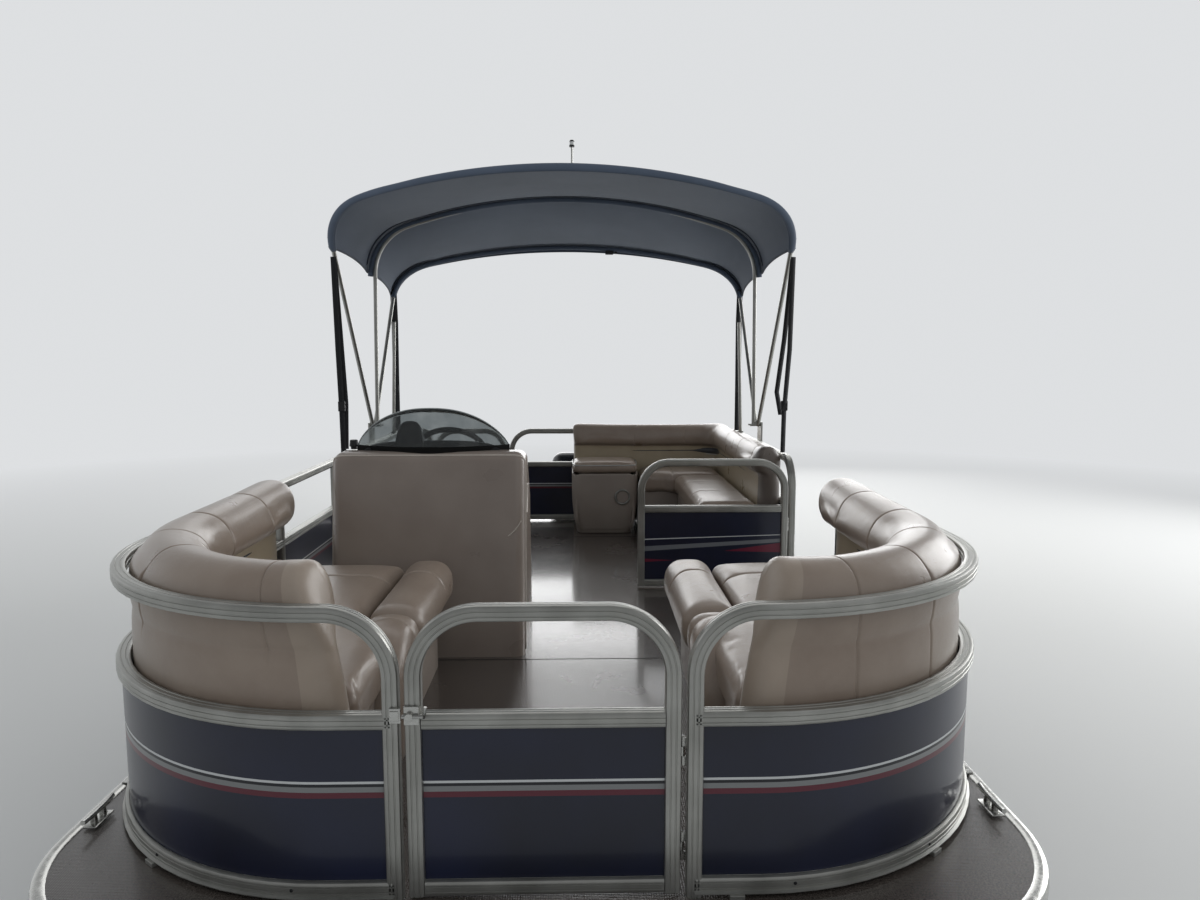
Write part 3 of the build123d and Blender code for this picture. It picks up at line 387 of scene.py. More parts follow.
def fitting(name, finish, body, boxes=(), bosses=(), lines=(), **settings):
    """A piece of boxes (low, high), bosses as for disc() and round lines as for pipe()."""
    bm = bmesh.new()
    for low, high in boxes:
        slab(bm, low, high)
    for boss in bosses:
        disc(bm, *boss)
    for points, radius in lines:
        pipe(bm, points, radius)
    return piece(name, bm, finish, body, **settings)


def oval(count, wide=1.0, tall=1.0, power=1.0):
    """Points round an ellipse, which a power under 1 squares up."""
    turns = [2 * pi * i / count for i in range(count)]
    return [(wide * copysign(abs(cos(turn)) ** power, cos(turn)), tall * copysign(abs(sin(turn)) ** power, sin(turn)))
            for turn in turns]


def verts_of(geometry):
    return [g for g in geometry if isinstance(g, bmesh.types.BMVert)]


def skinned(bm, rings):
    """Adds a solid: a face across the first and the last ring of vertices, and quads from ring to ring."""
    for ring, after in zip(rings, rings[1:]):
        for i in range(len(ring)):
            bm.faces.new((ring[i - 1], ring[i], after[i], after[i - 1]))
    bm.faces.new(rings[0])
    bm.faces.new(rings[-1])


def extruded(bm, corners, along):
    """Adds a solid: a flat face through the corners, drawn along a vector."""
    foot = [bm.verts.new(spot) for spot in corners]
    skinned(bm, [foot, [bm.verts.new(vert.co + Vector(along)) for vert in foot]])


def sweep(bm, outline, start, heading, path, up=UP):
    """Draws an outline of (left, up) points along a path of lines, turns about up and bends over, in degrees."""
    ahead, above, here = Vector(heading).normalized(), Vector(up).normalized(), Vector(start)
    left = above.cross(ahead)
    rings = [[bm.verts.new(here + left * a + above * b) for a, b in outline]]
    for kind, size, *angle in path:
        if kind == "line":
            rings.append([bm.verts.new(vert.co + ahead * size) for vert in rings[-1]])
            here = here + ahead * size
            continue
        turn = radians(angle[0])
        side = 1 if turn > 0 else -1
        axis, centre = (above, here + left * size * side) if kind == "turn" else (left, here - above * size * side)
        steps = max(3, round(abs(turn) / radians(5)))
        step = Matrix.Rotation(turn / steps, 3, axis)
        for _ in range(steps):
            rings.append([bm.verts.new(centre + step @ (vert.co - centre)) for vert in rings[-1]])
        rotation = Matrix.Rotation(turn, 3, axis)
        here = centre + rotation @ (here - centre)
        ahead, above, left = rotation @ ahead, rotation @ above, rotation @ left
    skinned(bm, rings)


def tube_outline(size=TUBE):
    """A square extrusion with round corners and two grooves in each face."""
    half, points = size / 2, []
    side = [(-half + TUBE_CORNER, 0)]
    for centre in (-size / 6, size / 6):
        side += [(centre - GROOVE_W / 2, 0), (centre - GROOVE_W / 4, -GROOVE_D), (centre + GROOVE_W / 4, -GROOVE_D),
                 (centre + GROOVE_W / 2, 0)]
    side.append((half - TUBE_CORNER, 0))
    side.append((half - TUBE_CORNER * 0.3, -TUBE_CORNER * 0.3))
    for quarter in range(4):
        turn = Matrix.Rotation(-quarter * pi / 2, 2)
        points += [tuple(turn @ Vector((a, half + b))) for a, b in side]
    return points


SQUARE = tube_outline()


def fence_run(name, node, start, end_bend, turns, posts, heading):
    """One run of fence: a top rail that bends down into its end posts, two lower rails, a lip and posts."""
    bm = bmesh.new()
    mid = TUBE / 2
    x0, y0, start_bend = start
    top = TOP_Z + mid
    into = Vector(heading)
    over0, over1 = start_bend - mid, end_bend - mid
    path = [("line", top - over0), ("over", over0, 90)]
    inner = [list(step) for step in turns]
    inner[0][1] -= over0
    inner[-1][1] -= over1
    path += [tuple(step) for step in inner if step[0] != "line" or step[1] > 1e-4]
    path += [("over", over1, 90), ("line", top - over1)]
    sweep(bm, SQUARE, at(x0, y0, 0), UP, path, up=-into)
    for z in (BASE_Z, MID_Z):
        sweep(bm, SQUARE, at(x0, y0, z + mid), into, turns)
    out = 1 if name.startswith("starboard") else -1
    lip = [(out * across, up) for across, up in ((mid - 0.003, 0), (mid + LIP, 0), (mid + LIP, 0.0022),
                                                 (mid - 0.001, 0.0055))]
    sweep(bm, lip, at(x0, y0, BASE_Z), into, turns)
    for x, y in posts:
        sweep(bm, SQUARE, at(x, y, 0.002), UP, [("line", TOP_Z)], up=AFT)
    piece(name, bm, "rail", "boat", stands_for=(node,))


def fences():
    """The starboard fence from the bow gate round to the stern gate, and the port one ahead of and behind its gate."""
    mid = TUBE / 2
    front_turn, rear_turn = FRONT_R - mid, REAR_R - mid
    side_x, stern_y = HALF - mid, LENGTH - mid
    straight_front = HALF - FRONT_R - (POST_X + mid)
    side = LENGTH - REAR_R - FRONT_R
    stern_starboard = HALF - REAR_R + STERN_STARBOARD_X - mid
    fence_run("starboard_fence", "fence_starboard", (-POST_X - mid, mid, ARCH_R), STERN_ARCH_R,
              [("line", straight_front), ("turn", front_turn, -90), ("line", side), ("turn", rear_turn, -90),
               ("line", stern_starboard)],
              [(-side_x, POST_FIRST + i * POST_PITCH) for i in range(4)], (-1, 0, 0))
    fence_run("port_bow_fence", "fence_port_bow", (POST_X + mid, mid, ARCH_R), ARCH_R,
              [("line", straight_front), ("turn", front_turn, 90), ("line", SIDE_DOOR[0] - mid - FRONT_R)],
              [(side_x, POST_FIRST)], (1, 0, 0))
    fence_run("port_stern_fence", "fence_port_stern", (side_x, SIDE_DOOR[1] + mid, ARCH_R), ARCH_R,
              [("line", LENGTH - REAR_R - SIDE_DOOR[1] - mid), ("turn", rear_turn, 90),
               ("line", HALF - REAR_R - STERN_PORT_X - mid)],
              [(side_x, SIDE_DOOR[1] + 0.950), (HALF - REAR_R - 0.600, stern_y)], (0, 1, 0))


def gates():
    """Arched frames around each gate's skin."""
    mid = TUBE / 2
    for gate, out in (("bow_gate", -1), ("side_gate", -1), ("stern_gate", 1)):
        low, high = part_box(f"{gate}_skin")
        x0, x1 = low.x - mid, high.x + mid
        y = (low.y + high.y) / 2 - GATE_Y - out * 0.0045
        over, top, width = ARCH_R - mid, TOP_Z + mid, x1 - x0
        bm = bmesh.new()
        rise = top - BASE_Z - over
        sweep(bm, SQUARE, at(x0, y, BASE_Z), UP,
              [("line", rise), ("over", over, 90), ("line", width - 2 * over), ("over", over, 90), ("line", rise)],
              up=-PORT)
        for z in (BASE_Z, MID_Z):
            sweep(bm, SQUARE, at(x0 + mid, y, z + mid), PORT, [("line", width - TUBE)])
        piece(f"{gate}_tubes", bm, "rail", gate, stands_for=(f"{gate}_frame",))


def bent_grid(bm, across, along, place, shade=None, held=None):
    """A grid of quads whose every vertex goes where place(column, row) says."""
    weights = bm.verts.layers.deform.verify()
    made = bmesh.ops.create_grid(bm, x_segments=across, y_segments=along, size=0.5)["verts"]
    spots = {vert: (round((vert.co.x + 0.5) * across), round((vert.co.y + 0.5) * along)) for vert in made}
    if shade:
        for face in bm.faces:
            middle = face.calc_center_median()
            face.material_index = shade(int((middle.x + 0.5) * across), int((middle.y + 0.5) * along))
    for vert, (column, row) in spots.items():
        vert.co = place(column, row)
        if held and held(column, row):
            vert[weights][0] = held(column, row)


def box_grid(bm, rows_x, rows_y, rows_z, place, held=None):
    """A closed box of quads with a row of vertices at every station, each moved to place(x, y, z)."""
    rows = (rows_x, rows_y, rows_z)
    weights = bm.verts.layers.deform.verify()
    bmesh.ops.create_cube(bm, size=1)
    for axis in range(3):
        lines = [e for e in bm.edges if abs((e.verts[0].co - e.verts[1].co)[axis]) > 1e-4]
        bmesh.ops.subdivide_edges(bm, edges=lines, cuts=len(rows[axis]) - 2, use_grid_fill=True)
    for vert in bm.verts:
        x, y, z = (rows[i][round((vert.co[i] + 0.5) * (len(rows[i]) - 1))] for i in range(3))
        vert.co = place(x, y, z)
        if held and held(x, y, z):
            vert[weights][0] = held(x, y, z)


def spaced(low, high, pitch, radius=0.0, seams=(), groove=0.0045):
    """Stations from low to high: close together over a round edge and at each seam."""
    first, last = low + radius, high - radius
    count = max(1, round((last - first) / pitch))
    spots = [first + (last - first) * i / count for i in range(count + 1)]
    for seam in seams:
        spots = [spot for spot in spots if abs(spot - seam) > 2.6 * groove or spot in (first, last)]
        spots += [seam + groove * k for k in (-2, -1, 0, 1, 2)]
    if radius:
        spots += [low, low + radius * 0.423, low + radius * 0.732, high - radius * 0.732, high - radius * 0.423, high]
    return sorted(spots)


def rounded(spot, low, high, radius):
    """A point on a box moved onto the same box with round edges."""
    core = Vector([min(max(c, a + radius), b - radius) for c, a, b in zip(spot, low, high)])
    out = spot - core
    reach = max(abs(c) for c in out)
    return core + out.normalized() * reach if reach > 1e-6 else spot


def thicken(obj, thickness):
    """Gives a sheet its thickness, half to each side."""
    solid = obj.modifiers.new("thickness", "SOLIDIFY")
    solid.thickness, solid.offset = thickness, 0.0


def pipe(bm, points, radius, closed=False, shade=0, sides=3, smoothness=6):
    """Adds a round line through the points of a NURBS spline to a bmesh."""
    curve = bpy.data.curves.new("line", "CURVE")
    curve.dimensions = "3D"
    curve.bevel_depth, curve.bevel_resolution, curve.use_fill_caps = radius, sides, True
    spline = curve.splines.new("NURBS")
    spline.points.add(len(points) - 1)
    for knot, spot in zip(spline.points, points):
        knot.co = (*spot, 1)
    spline.use_cyclic_u, spline.use_endpoint_u = closed, not closed
    spline.order_u, spline.resolution_u = 3, smoothness
    holder = bpy.data.objects.new("line", curve)
    mesh = bpy.data.meshes.new_from_object(holder)
    before = len(bm.faces)
    bm.from_mesh(mesh)
    bm.faces.ensure_lookup_table()
    for face in bm.faces[before:]:
        face.material_index = shade
    bpy.data.objects.remove(holder)
    bpy.data.curves.remove(curve)
    bpy.data.meshes.remove(mesh)


SWOLLEN = []                                      # covers to fill: object, pressure, largest move, finer or not


def sewn(name, bm, finish, body, stands_for=(), pressure=4.0, cap=0.010, finer=True):
    """A padded piece whose cover swell_all() fills; group held keeps its seams, and finer smooths it once more."""
    obj = piece(name, bm, finish, body, stands_for=stands_for, sharp=0, subdivide=1)
    obj.vertex_groups.new(name="held")
    SWOLLEN.append((obj, pressure, cap, finer))


def swell_all():
    """Runs the cloth of every listed cover at once under pressure, caps each move and keeps the shape."""
    scene = bpy.context.scene
    for obj, pressure, _, _ in SWOLLEN:
        graph = bpy.context.evaluated_depsgraph_get()
        obj.data = bpy.data.meshes.new_from_object(obj.evaluated_get(graph), preserve_all_data_layers=True,
                                                   depsgraph=graph)
        obj.modifiers["smooth"].show_viewport = False
        cloth = obj.modifiers.new("swell", "CLOTH")
        fabric = cloth.settings
        fabric.quality, fabric.mass, fabric.air_damping = 5, 0.35, 2.0
        fabric.tension_stiffness = fabric.compression_stiffness = 22
        fabric.shear_stiffness, fabric.bending_stiffness = 12, 0.8
        fabric.vertex_group_mass = "held"
        fabric.use_pressure, fabric.uniform_pressure_force = True, pressure
        fabric.shrink_min = -0.015
        fabric.effector_weights.gravity = 0
    for step in range(1, 21):
        scene.frame_set(step)
    graph = bpy.context.evaluated_depsgraph_get()
    for obj, _, cap, _ in SWOLLEN:
        swelled = [vert.co.copy() for vert in obj.evaluated_get(graph).data.vertices]
        for vert, spot in zip(obj.data.vertices, swelled):
            move = spot - vert.co
            vert.co += move * min(1.0, cap / max(move.length, 1e-6))
    for obj, _, _, finer in SWOLLEN:
        obj.modifiers.remove(obj.modifiers["swell"])
        obj.modifiers["smooth"].show_viewport = True
        if not finer:
            obj.modifiers.remove(obj.modifiers["smooth"])
    scene.frame_set(1)


def corner_path(start, heading, first, radius, second, least=0.0):
    """The plan of a backrest, a line, a left turn and a line: the place s along its outer face and a inboard."""
    start, ahead = Vector(start), Vector(heading)
    left = Vector((-ahead.y, ahead.x))
    corner = start + ahead * (first + radius)
    arc = radius * pi / 2

    def place(s, a):
        bend = max(radius - a, least)
        inner = corner + (left - ahead) * a
        if s <= first:
            return (start + left * a).lerp(inner - ahead * bend, s / first)
        if s <= first + arc:
            turn = (s - first) / radius
            return inner + (left - ahead) * bend + (ahead * sin(turn) - left * cos(turn)) * bend
        end = corner + left * (radius + second) - ahead * a
        return (inner + left * bend).lerp(end, (s - first - arc) / second)

    return place, first + arc + second


# A backrest in section, (inboard, height): its outer side from the floor up, then its inner side, in pairs
OUTER = [Vector(p) for p in ((0, 0.0), (0, 0.15), (0, 0.30), (0, 0.42), (0, 0.52), (0.001, 0.572), (0.008, 0.586),
                             (0.001, 0.600), (-0.002, 0.635), (-0.003, 0.675), (0.004, 0.720), (0.018, 0.752),
                             (0.036, 0.773), (0.058, 0.785), (0.076, 0.789), (0.092, 0.790))]
INNER = [Vector(p) for p in ((0.110, 0.0), (0.110, 0.15), (0.110, 0.30), (0.110, 0.40), (0.108, 0.470),
                             (0.106, 0.530), (0.105, 0.580), (0.110, 0.600), (0.122, 0.608), (0.150, 0.612),
                             (0.177, 0.626), (0.193, 0.658), (0.195, 0.696), (0.187, 0.734), (0.165, 0.767),
                             (0.128, 0.786))]
ROUND = OUTER + INNER[::-1]
CREASE_OUT, CREASE_IN = 6, 23                     # the roll lies between these two of ROUND
END_R, CAP_TURNS = 0.062, (90, 72, 54, 36, 18)    # the padded ends' reach, and their rings in degrees
ROLL_CENTRE, LOWER_CENTRE = Vector((0.097, 0.695)), 0.055
STITCH = 0.0065                                   # how far a seam pulls the cover in


def backrest(name, path, whole, body, nodes, seams, mirror=1, slant=0.0, thin=1.0, low=1.0,
             cap_painted_light_finish="painted_light_vinyl"):
    """A padded backrest with its roll, closed at both ends, sewn across at the seams: (s, first column, last). Its
    first end's cap takes a copy of the vinyl with painted light: lighter on the couches, darker on the lounge.
    """
    grooves = spaced(END_R, whole - END_R, 0.034, seams=[seam[0] for seam in seams])
    stations = [(END_R, -turn) for turn in CAP_TURNS] + [(s, 0) for s in grooves]
    stations += [(whole - END_R, turn) for turn in CAP_TURNS[::-1]]
    count = len(ROUND)

    def sewn_here(column, row):
        s, turn = stations[row]
        return turn == 0 and any(abs(s - seam) < 1e-5 and first <= column % count <= last
                                 for seam, first, last in seams)

    def place(column, row):
        s, turn = stations[row]
        k = column % count
        spot, partner = ROUND[k], ROUND[count - 1 - k]
        if sewn_here(column, row):
            centre = ROLL_CENTRE if CREASE_OUT < k < CREASE_IN else Vector((LOWER_CENTRE, spot.y))
            spot = spot + (centre - spot).normalized() * STITCH
        flat = 1 - cos(radians(turn))
        a, z = spot.lerp((spot + partner) / 2, flat)
        z -= max(z - 0.45, 0) * 0.16 * flat**2
        s += END_R * sin(radians(turn))
        s += slant * min(max((z - 0.22) / 0.57, 0), 1) ** 2.2 * max(0, 1 - s / 0.30)
        a = a if a < BACK_T else BACK_T + (a - BACK_T) * thin
        z = z if z < ROLL_Z else ROLL_Z + (z - ROLL_Z) * low
        x, y = path(s, a)
        return at(x * mirror, y, z)

    def shade(column, row):
        """The first end's cap is of the third finish, a copy of the vinyl with that end's light painted in, lighter on
        the couches and darker on the lounge; the inner side under the roll of the second.
        """
        if row < len(CAP_TURNS) + 1:
            return 2
        return 1 if CREASE_IN < column % count <= 28 else 0

    def held(column, row):
        k = column % count
        return 1.0 if (k in (0, 1, CREASE_OUT, CREASE_IN, 31, 30, 29, 28) or sewn_here(column, row)) else 0.0

    bm = bmesh.new()
    bent_grid(bm, count, len(stations) - 1, place, shade, held)
    sewn(name, bm, ("vinyl", "tan", cap_painted_light_finish), body, nodes, pressure=5.0, cap=0.011)


def accent_and_shade_band(name, path, first, last, body, mirror=1, z=0.572, height=0.040):
    """The dark lens-shaped band under the roll, pointed at both ends, with a silver piping on each edge. On the couches
    it is an accent panel; on the lounge its dark colour is painted shade, the shadow under the roll.
    """
    count, section = 40, ((-1, 0), (-0.7, 0.6), (0, 1), (0.7, 0.6), (1, 0), (0, -0.6))

    def spot(step, b, c):
        share = step / count
        tall = height * max(sin(pi * share), 0.0) ** 0.6
        x, y = path(first + (last - first) * share, 0.106 + 0.013 * c * min(1, tall / height * 1.6))
        return at(x * mirror, y, z - 0.010 * share + tall * b)

    bm = bmesh.new()
    bent_grid(bm, len(section), count, lambda column, row: spot(row, *section[column % len(section)]))
    for edge in (-1, 1):
        pipe(bm, [spot(step, edge, 0.25) for step in range(1, count)], 0.0038, shade=1, sides=2, smoothness=2)
    obj = piece(name, bm, ("accent_and_painted_shade", "piping"), body, sharp=0, subdivide=1)


def cushion(name, low, high, radius, body, nodes=(), crown=0.012, seams_x=(), seams_y=(), shape=None, cap=0.010,
            welt="piping", finer=True):
    """A sewn box cushion: round edges, a crowned top with dented seams, and a welt around the top."""
    pitch = 0.030
    low, high = Vector(low), Vector(high)
    middle, half = (low + high) / 2, (high - low) / 2

    def dent(x, y):
        near = [abs(x - seam) for seam in seams_x] + [abs(y - seam) for seam in seams_y]
        return max([max(0.0, 1 - gap / 0.009) for gap in near] + [0.0])

    def place(x, y, z):
        spot = rounded(Vector((x, y, z)), low, high, radius)
        u, v = (x - middle.x) / half.x, (y - middle.y) / half.y
        share = max(0.0, (z - middle.z) / half.z)
        spot.z += share * (crown * (1 - u**4) * (1 - v**4) - 0.006 * dent(x, y))
        return at(*(shape(spot) if shape else spot))

    def held(x, y, z):
        edge = min(x - low.x, high.x - x, y - low.y, high.y - y) < radius * 0.8
        return 1.0 if z < middle.z - half.z * 0.2 or dent(x, y) > 0.9 or (edge and z > high.z - radius) else 0.0

    bm = bmesh.new()
    box_grid(bm, spaced(low.x, high.x, pitch, radius, seams_x), spaced(low.y, high.y, pitch, radius, seams_y),
             spaced(low.z, high.z, pitch, radius), place, held)
    sewn(name, bm, "vinyl", body, nodes, cap=cap, finer=finer)
    if welt:
        reach = radius * 0.29
        a, b = low + Vector((reach, reach, 0)), high - Vector((reach, reach, reach * 0.8))
        bend = radius * 1.2
        corners = [(a.x, a.y, 1, 1), (b.x, a.y, -1, 1), (b.x, b.y, -1, -1), (a.x, b.y, 1, -1)]
        loop = []
        for n, (x, y, to_x, to_y) in enumerate(corners):
            bent = [(x, y + to_y * bend), (x, y), (x + to_x * bend, y)]
            following = corners[(n + 1) % 4]
            loop += bent[::-1] if n % 2 else bent
            loop.append(((x + following[0]) / 2, (y + following[1]) / 2))
        points = [Vector((x, y, b.z)) for x, y in loop]
        bm = bmesh.new()
        pipe(bm, [at(*(shape(p) if shape else p)) for p in points], 0.004, closed=True)
        piece(f"{name}_welt", bm, welt, body, sharp=0)


def couches():
    """The two bow couches: backrest, accent band, corner seat, hinged seat and bolster."""
    outer = HALF - SHELL_INSET
    bend = FRONT_R - SHELL_INSET
    straight = outer - bend - COUCH_INNER
    for name, side in (("port", 1), ("starboard", -1)):
        path, whole = corner_path((COUCH_INNER, SHELL_INSET), (1, 0), straight, bend, COUCH_END - FRONT_R)
        if side > 0:
            seams = [(0.297, 0, 23), (0.57, 0, 23), (0.90, 6, 23), (1.24, 0, 23), (1.60, 6, 23)]
        else:
            seams = [(0.170, 6, 23), (0.654, 6, 23), (0.93, 6, 23), (1.24, 0, 23), (1.60, 6, 23)]
        backrest(f"{name}_backrest", path, whole, "boat", (f"couch_back_{name}",), seams, side, slant=0.100)
        accent_and_shade_band(f"{name}_accent_band", path, 0.36, 1.80, "boat", side)
        seat_x, seat_y = COUCH_INNER + 0.020, 0.171

        def corner_plan(spot, side=side, seat_x=seat_x, seat_y=seat_y):
            """A square turned into the quarter round corner seat."""
            u, v = spot.x / 0.62, spot.y / 0.62
            x = seat_x + 0.630 * u * (1 - v * v / 2) ** 0.5
            return Vector((x * side, 0.788 - (0.788 - seat_y) * v * (1 - u * u / 2) ** 0.5, spot.z))

        cushion(f"{name}_corner_seat", (0, 0, SEAT_BASE), (0.62, 0.62, SEAT_TOP), 0.035, "boat", shape=corner_plan,
                welt=None, crown=0.014)

        def mirrored(spot, side=side):
            return Vector((spot.x * side, spot.y, spot.z))

        seat = f"seat_{name}"
        cushion(f"{name}_seat_cushion", (0.613, 0.802, SEAT_BASE), (1.100, 1.516, SEAT_TOP), 0.035, seat,
                (f"couch_seat_{name}",), seams_y=(1.270,), shape=mirrored, welt=None, crown=0.016)
        cushion(f"{name}_bolster", (0.421, 0.802, 0.286), (0.611, 1.517, 0.462), 0.074, seat, seams_y=(1.270,),
                shape=mirrored, welt=None, crown=0.0, cap=0.008)
        front_roll(name, side)


def front_roll(name, side):
    """The puffy roll ahead of the bolster, which bends down to the floor beside the corner seat."""
    x, y, z = side * 0.515, 0.788, 0.378
    seam_y, grip = GATE_Y + y - 0.067, 0.002
    bm = bmesh.new()
    sweep(bm, oval(20, 0.088, 0.078, 0.7), at(x, y, z), (0, -1, 0),
          [("line", size) for size in (0.02, 0.035, 0.012, 0.012, 0.03)] + [("over", 0.14, 84)]
          + [("line", size) for size in (0.03, 0.06, 0.05, 0.02)])
    weights = bm.verts.layers.deform.verify()
    for vert in bm.verts:
        gap = abs(vert.co.y - seam_y)
        if gap < grip and vert.co.z > FLOOR + 0.24:
            vert.co += (Vector((x, vert.co.y, FLOOR + z)) - vert.co).normalized() * 0.008
        vert[weights][0] = 1.0 if gap < grip or vert.co.y > GATE_Y + 0.78 or vert.co.z < FLOOR + 0.05 else 0.0
    sewn(f"{name}_front_roll", bm, "vinyl", "boat", pressure=6.0, cap=0.010)


def lounge():
    """The stern lounge: backrest along the side and the stern, seats, and the end block's cushion."""
    front, outer, stern = 2.860, HALF - SHELL_INSET, LENGTH - SHELL_INSET
    bend = REAR_R - SHELL_INSET
    path, whole = corner_path((outer, front), (0, 1), stern - bend - front, bend, outer - bend - 0.030, least=0.11)
    # The backrest's front end cap is the darker copy of the vinyl: painted shade
    backrest("lounge_backrest", path, whole, "boat", ("lounge_back",),
             [(0.150, 6, 23), (0.62, 6, 23), (1.10, 6, 23), (1.58, 6, 23), (1.90, 6, 23), (2.34, 6, 23)],
             thin=0.53, low=0.89, cap_painted_light_finish="painted_shade_cap_vinyl")
    # The lounge's dark band is painted shade: it stands for the shadow under the roll
    accent_and_shade_band("lounge_accent_band", path, 0.10, whole - 0.12, "boat", height=0.028, z=0.566)
    cushion("side_seat_cushion", (0.742, 2.862, SEAT_BASE), (1.100, 4.018, SEAT_TOP), 0.040, "lounge_seat",
            ("lounge_seat_side",), seams_y=(3.25, 3.64), crown=0.014, welt=None, finer=False)

    def stern_plan(spot):
        """The stern seat's front edge steps forward where the side seat meets it."""
        forward = min(max((spot.x - 0.690) / 0.05, 0), 1) * max(0, 1 - (spot.y - 4.08) / 0.20)
        return Vector((spot.x, spot.y - 0.050 * forward, spot.z))

    cushion("stern_seat_cushion", (0.508, 4.081, SEAT_BASE), (1.100, 4.466, SEAT_TOP), 0.038, "boat",
            seams_x=(0.740,), shape=stern_plan, crown=0.014, welt=None, finer=False)
    cushion("end_block_cushion", (0.025, 4.069, 0.443), (0.501, 4.419, 0.503), 0.026, "end_lid",
            ("lounge_end_lid",), crown=0.018, shape=block_plan, cap=0.008, finer=False)


# The end block: its corners, and the radius of its front corners in plan
BLOCK_LOW, BLOCK_HIGH, BLOCK_R = (0.025, 4.069, 0.0), (0.501, 4.470, 0.440), 0.090
BLOCK_X = (BLOCK_LOW[0] + BLOCK_HIGH[0]) / 2


def lounge_base():
    """The lounge's moulded base with its bin."""
    bm = bmesh.new()
    plan = [(0.780, 2.860), (1.109, 2.860), (1.109, 4.476), (0.504, 4.476), (0.504, 4.120), (0.780, 4.120)]
    bin_x, bin_y = (0.794, 1.095), (2.874, 4.000)
    extruded(bm, [at(x, y, 0) for x, y in plan], (0, 0, 0.305))
    bmesh.ops.recalc_face_normals(bm, faces=bm.faces)
    for spot, normal in [((x, 0, 0), PORT) for x in bin_x] + [((0, y, 0), AFT) for y in bin_y]:
        bmesh.ops.bisect_plane(bm, geom=bm.verts[:] + bm.edges[:] + bm.faces[:], plane_co=at(*spot), plane_no=normal)
    sink(bm, bin_x, bin_y, 0.304, 0.290)
    corners = [e for e in bm.edges if abs(e.verts[0].co.z - e.verts[1].co.z) > 0.3 and e.verts[0].co.x < 0.79
               and e.verts[0].co.y < GATE_Y + 2.87]
    bmesh.ops.bevel(bm, geom=corners, offset=0.012, affect="EDGES", segments=4, profile=0.5, material=-1)
    piece("lounge_base_shell", bm, "base", "boat", ("lounge_base",), sharp=35)


def end_block():
    """The lounge's end block, which rounds in towards the floor, with its well and the ring on its front."""
    low, high = BLOCK_LOW, BLOCK_HIGH

    def place(x, y, z):
        spot = block_plan(Vector((x, y, z)))
        share = z / high[2]
        size = 0.982 + 0.018 * sin(pi * min(share * 1.1, 1)) - 0.160 * (1 - share) ** 2.4
        return at(BLOCK_X + (spot.x - BLOCK_X) * size, high[1] - (high[1] - spot.y) * size, z)

    bm = bmesh.new()
    box_grid(bm, spaced(low[0], high[0], 0.040, BLOCK_R), spaced(low[1], high[1], 0.040, BLOCK_R),
             sorted(spaced(low[2], high[2], 0.040) + [0.005, 0.436]), place)
    bmesh.ops.recalc_face_normals(bm, faces=bm.faces)
    sink(bm, (0.060, 0.466), (4.105, 4.368), 0.438, 0.420)
    piece("end_block_body", bm, "base", "boat", sharp=50, subdivide=1)
    bm = bmesh.new()
    pipe(bm, [at(0.385 + 0.050 * c, 4.074 + 0.004 * c, 0.275 + 0.050 * s) for c, s in oval(16)], 0.0075, closed=True)
    piece("end_block_ring", bm, "rail", "boat", sharp=0)


def sink(bm, across, along, top, depth):
    """Sinks the faces of a top that lie in a rectangle, as the bin of a seat base."""
    floor = [f for f in bm.faces if f.normal.z > 0.9 and f.calc_center_median().z > FLOOR + top
             and across[0] < f.calc_center_median().x < across[1]
             and along[0] < f.calc_center_median().y - GATE_Y < along[1]]
    sunk = verts_of(bmesh.ops.extrude_face_region(bm, geom=floor)["geom"])
    bmesh.ops.delete(bm, geom=floor, context="FACES")
    bmesh.ops.translate(bm, verts=sunk, vec=(0, 0, -depth))


def block_plan(spot):
    """The end block and its cushion have round corners on their front side."""
    half, edge = BLOCK_HIGH[0] - BLOCK_X, BLOCK_LOW[1]
    beside = max(0.0, abs(spot.x - BLOCK_X) - (half - BLOCK_R)) / BLOCK_R
    ahead = max(0.0, BLOCK_R - (spot.y - edge)) / BLOCK_R
    if not beside or not ahead:
        return spot
    scale = max(beside, ahead) / hypot(beside, ahead) * BLOCK_R
    x = BLOCK_X + copysign(half - BLOCK_R + beside * scale, spot.x - BLOCK_X)
    return Vector((x, edge + BLOCK_R - ahead * scale, spot.z))


def helm_seat():
    """The helm chair: seat cushion, back cushion and the plates that carry them."""
    x, y, z = -0.560, 2.900, 0.410
    wide, seams = 0.233, (x - 0.11, x + 0.11)
    cushion("helm_seat_cushion", (x - wide, y - 0.218, z - 0.028), (x + wide, y + 0.218, z + 0.060), 0.040, "chair",
            ("helm_chair",), seams_x=seams, finer=False)

    def curled(spot):
        """The back wraps a little round the sitter."""
        return Vector((spot.x, spot.y - 0.020 * ((spot.x - x) / 0.23) ** 2 + 0.012, spot.z))

    cushion("helm_back_cushion", (x - wide, y + 0.140, z + 0.078), (x + wide, y + 0.220, z + 0.345), 0.038, "chair",
            crown=0.0, seams_x=seams, shape=curled, welt=None, finer=False)
    plates = (((x - 0.090, y + 0.221, z - 0.040), (x + 0.090, y + 0.229, z + 0.220)),
              ((x - 0.090, y - 0.100, z - 0.047), (x + 0.090, y + 0.229, z - 0.040)),
              ((x - 0.110, y - 0.110, z - 0.039), (x + 0.110, y + 0.110, z - 0.030)))
    fitting("helm_chair_plates", "powder", "chair", plates, [(at(x, y, z - 0.055), UP, 0.080, 0.015, None, 32)],
            bevel=0.002)


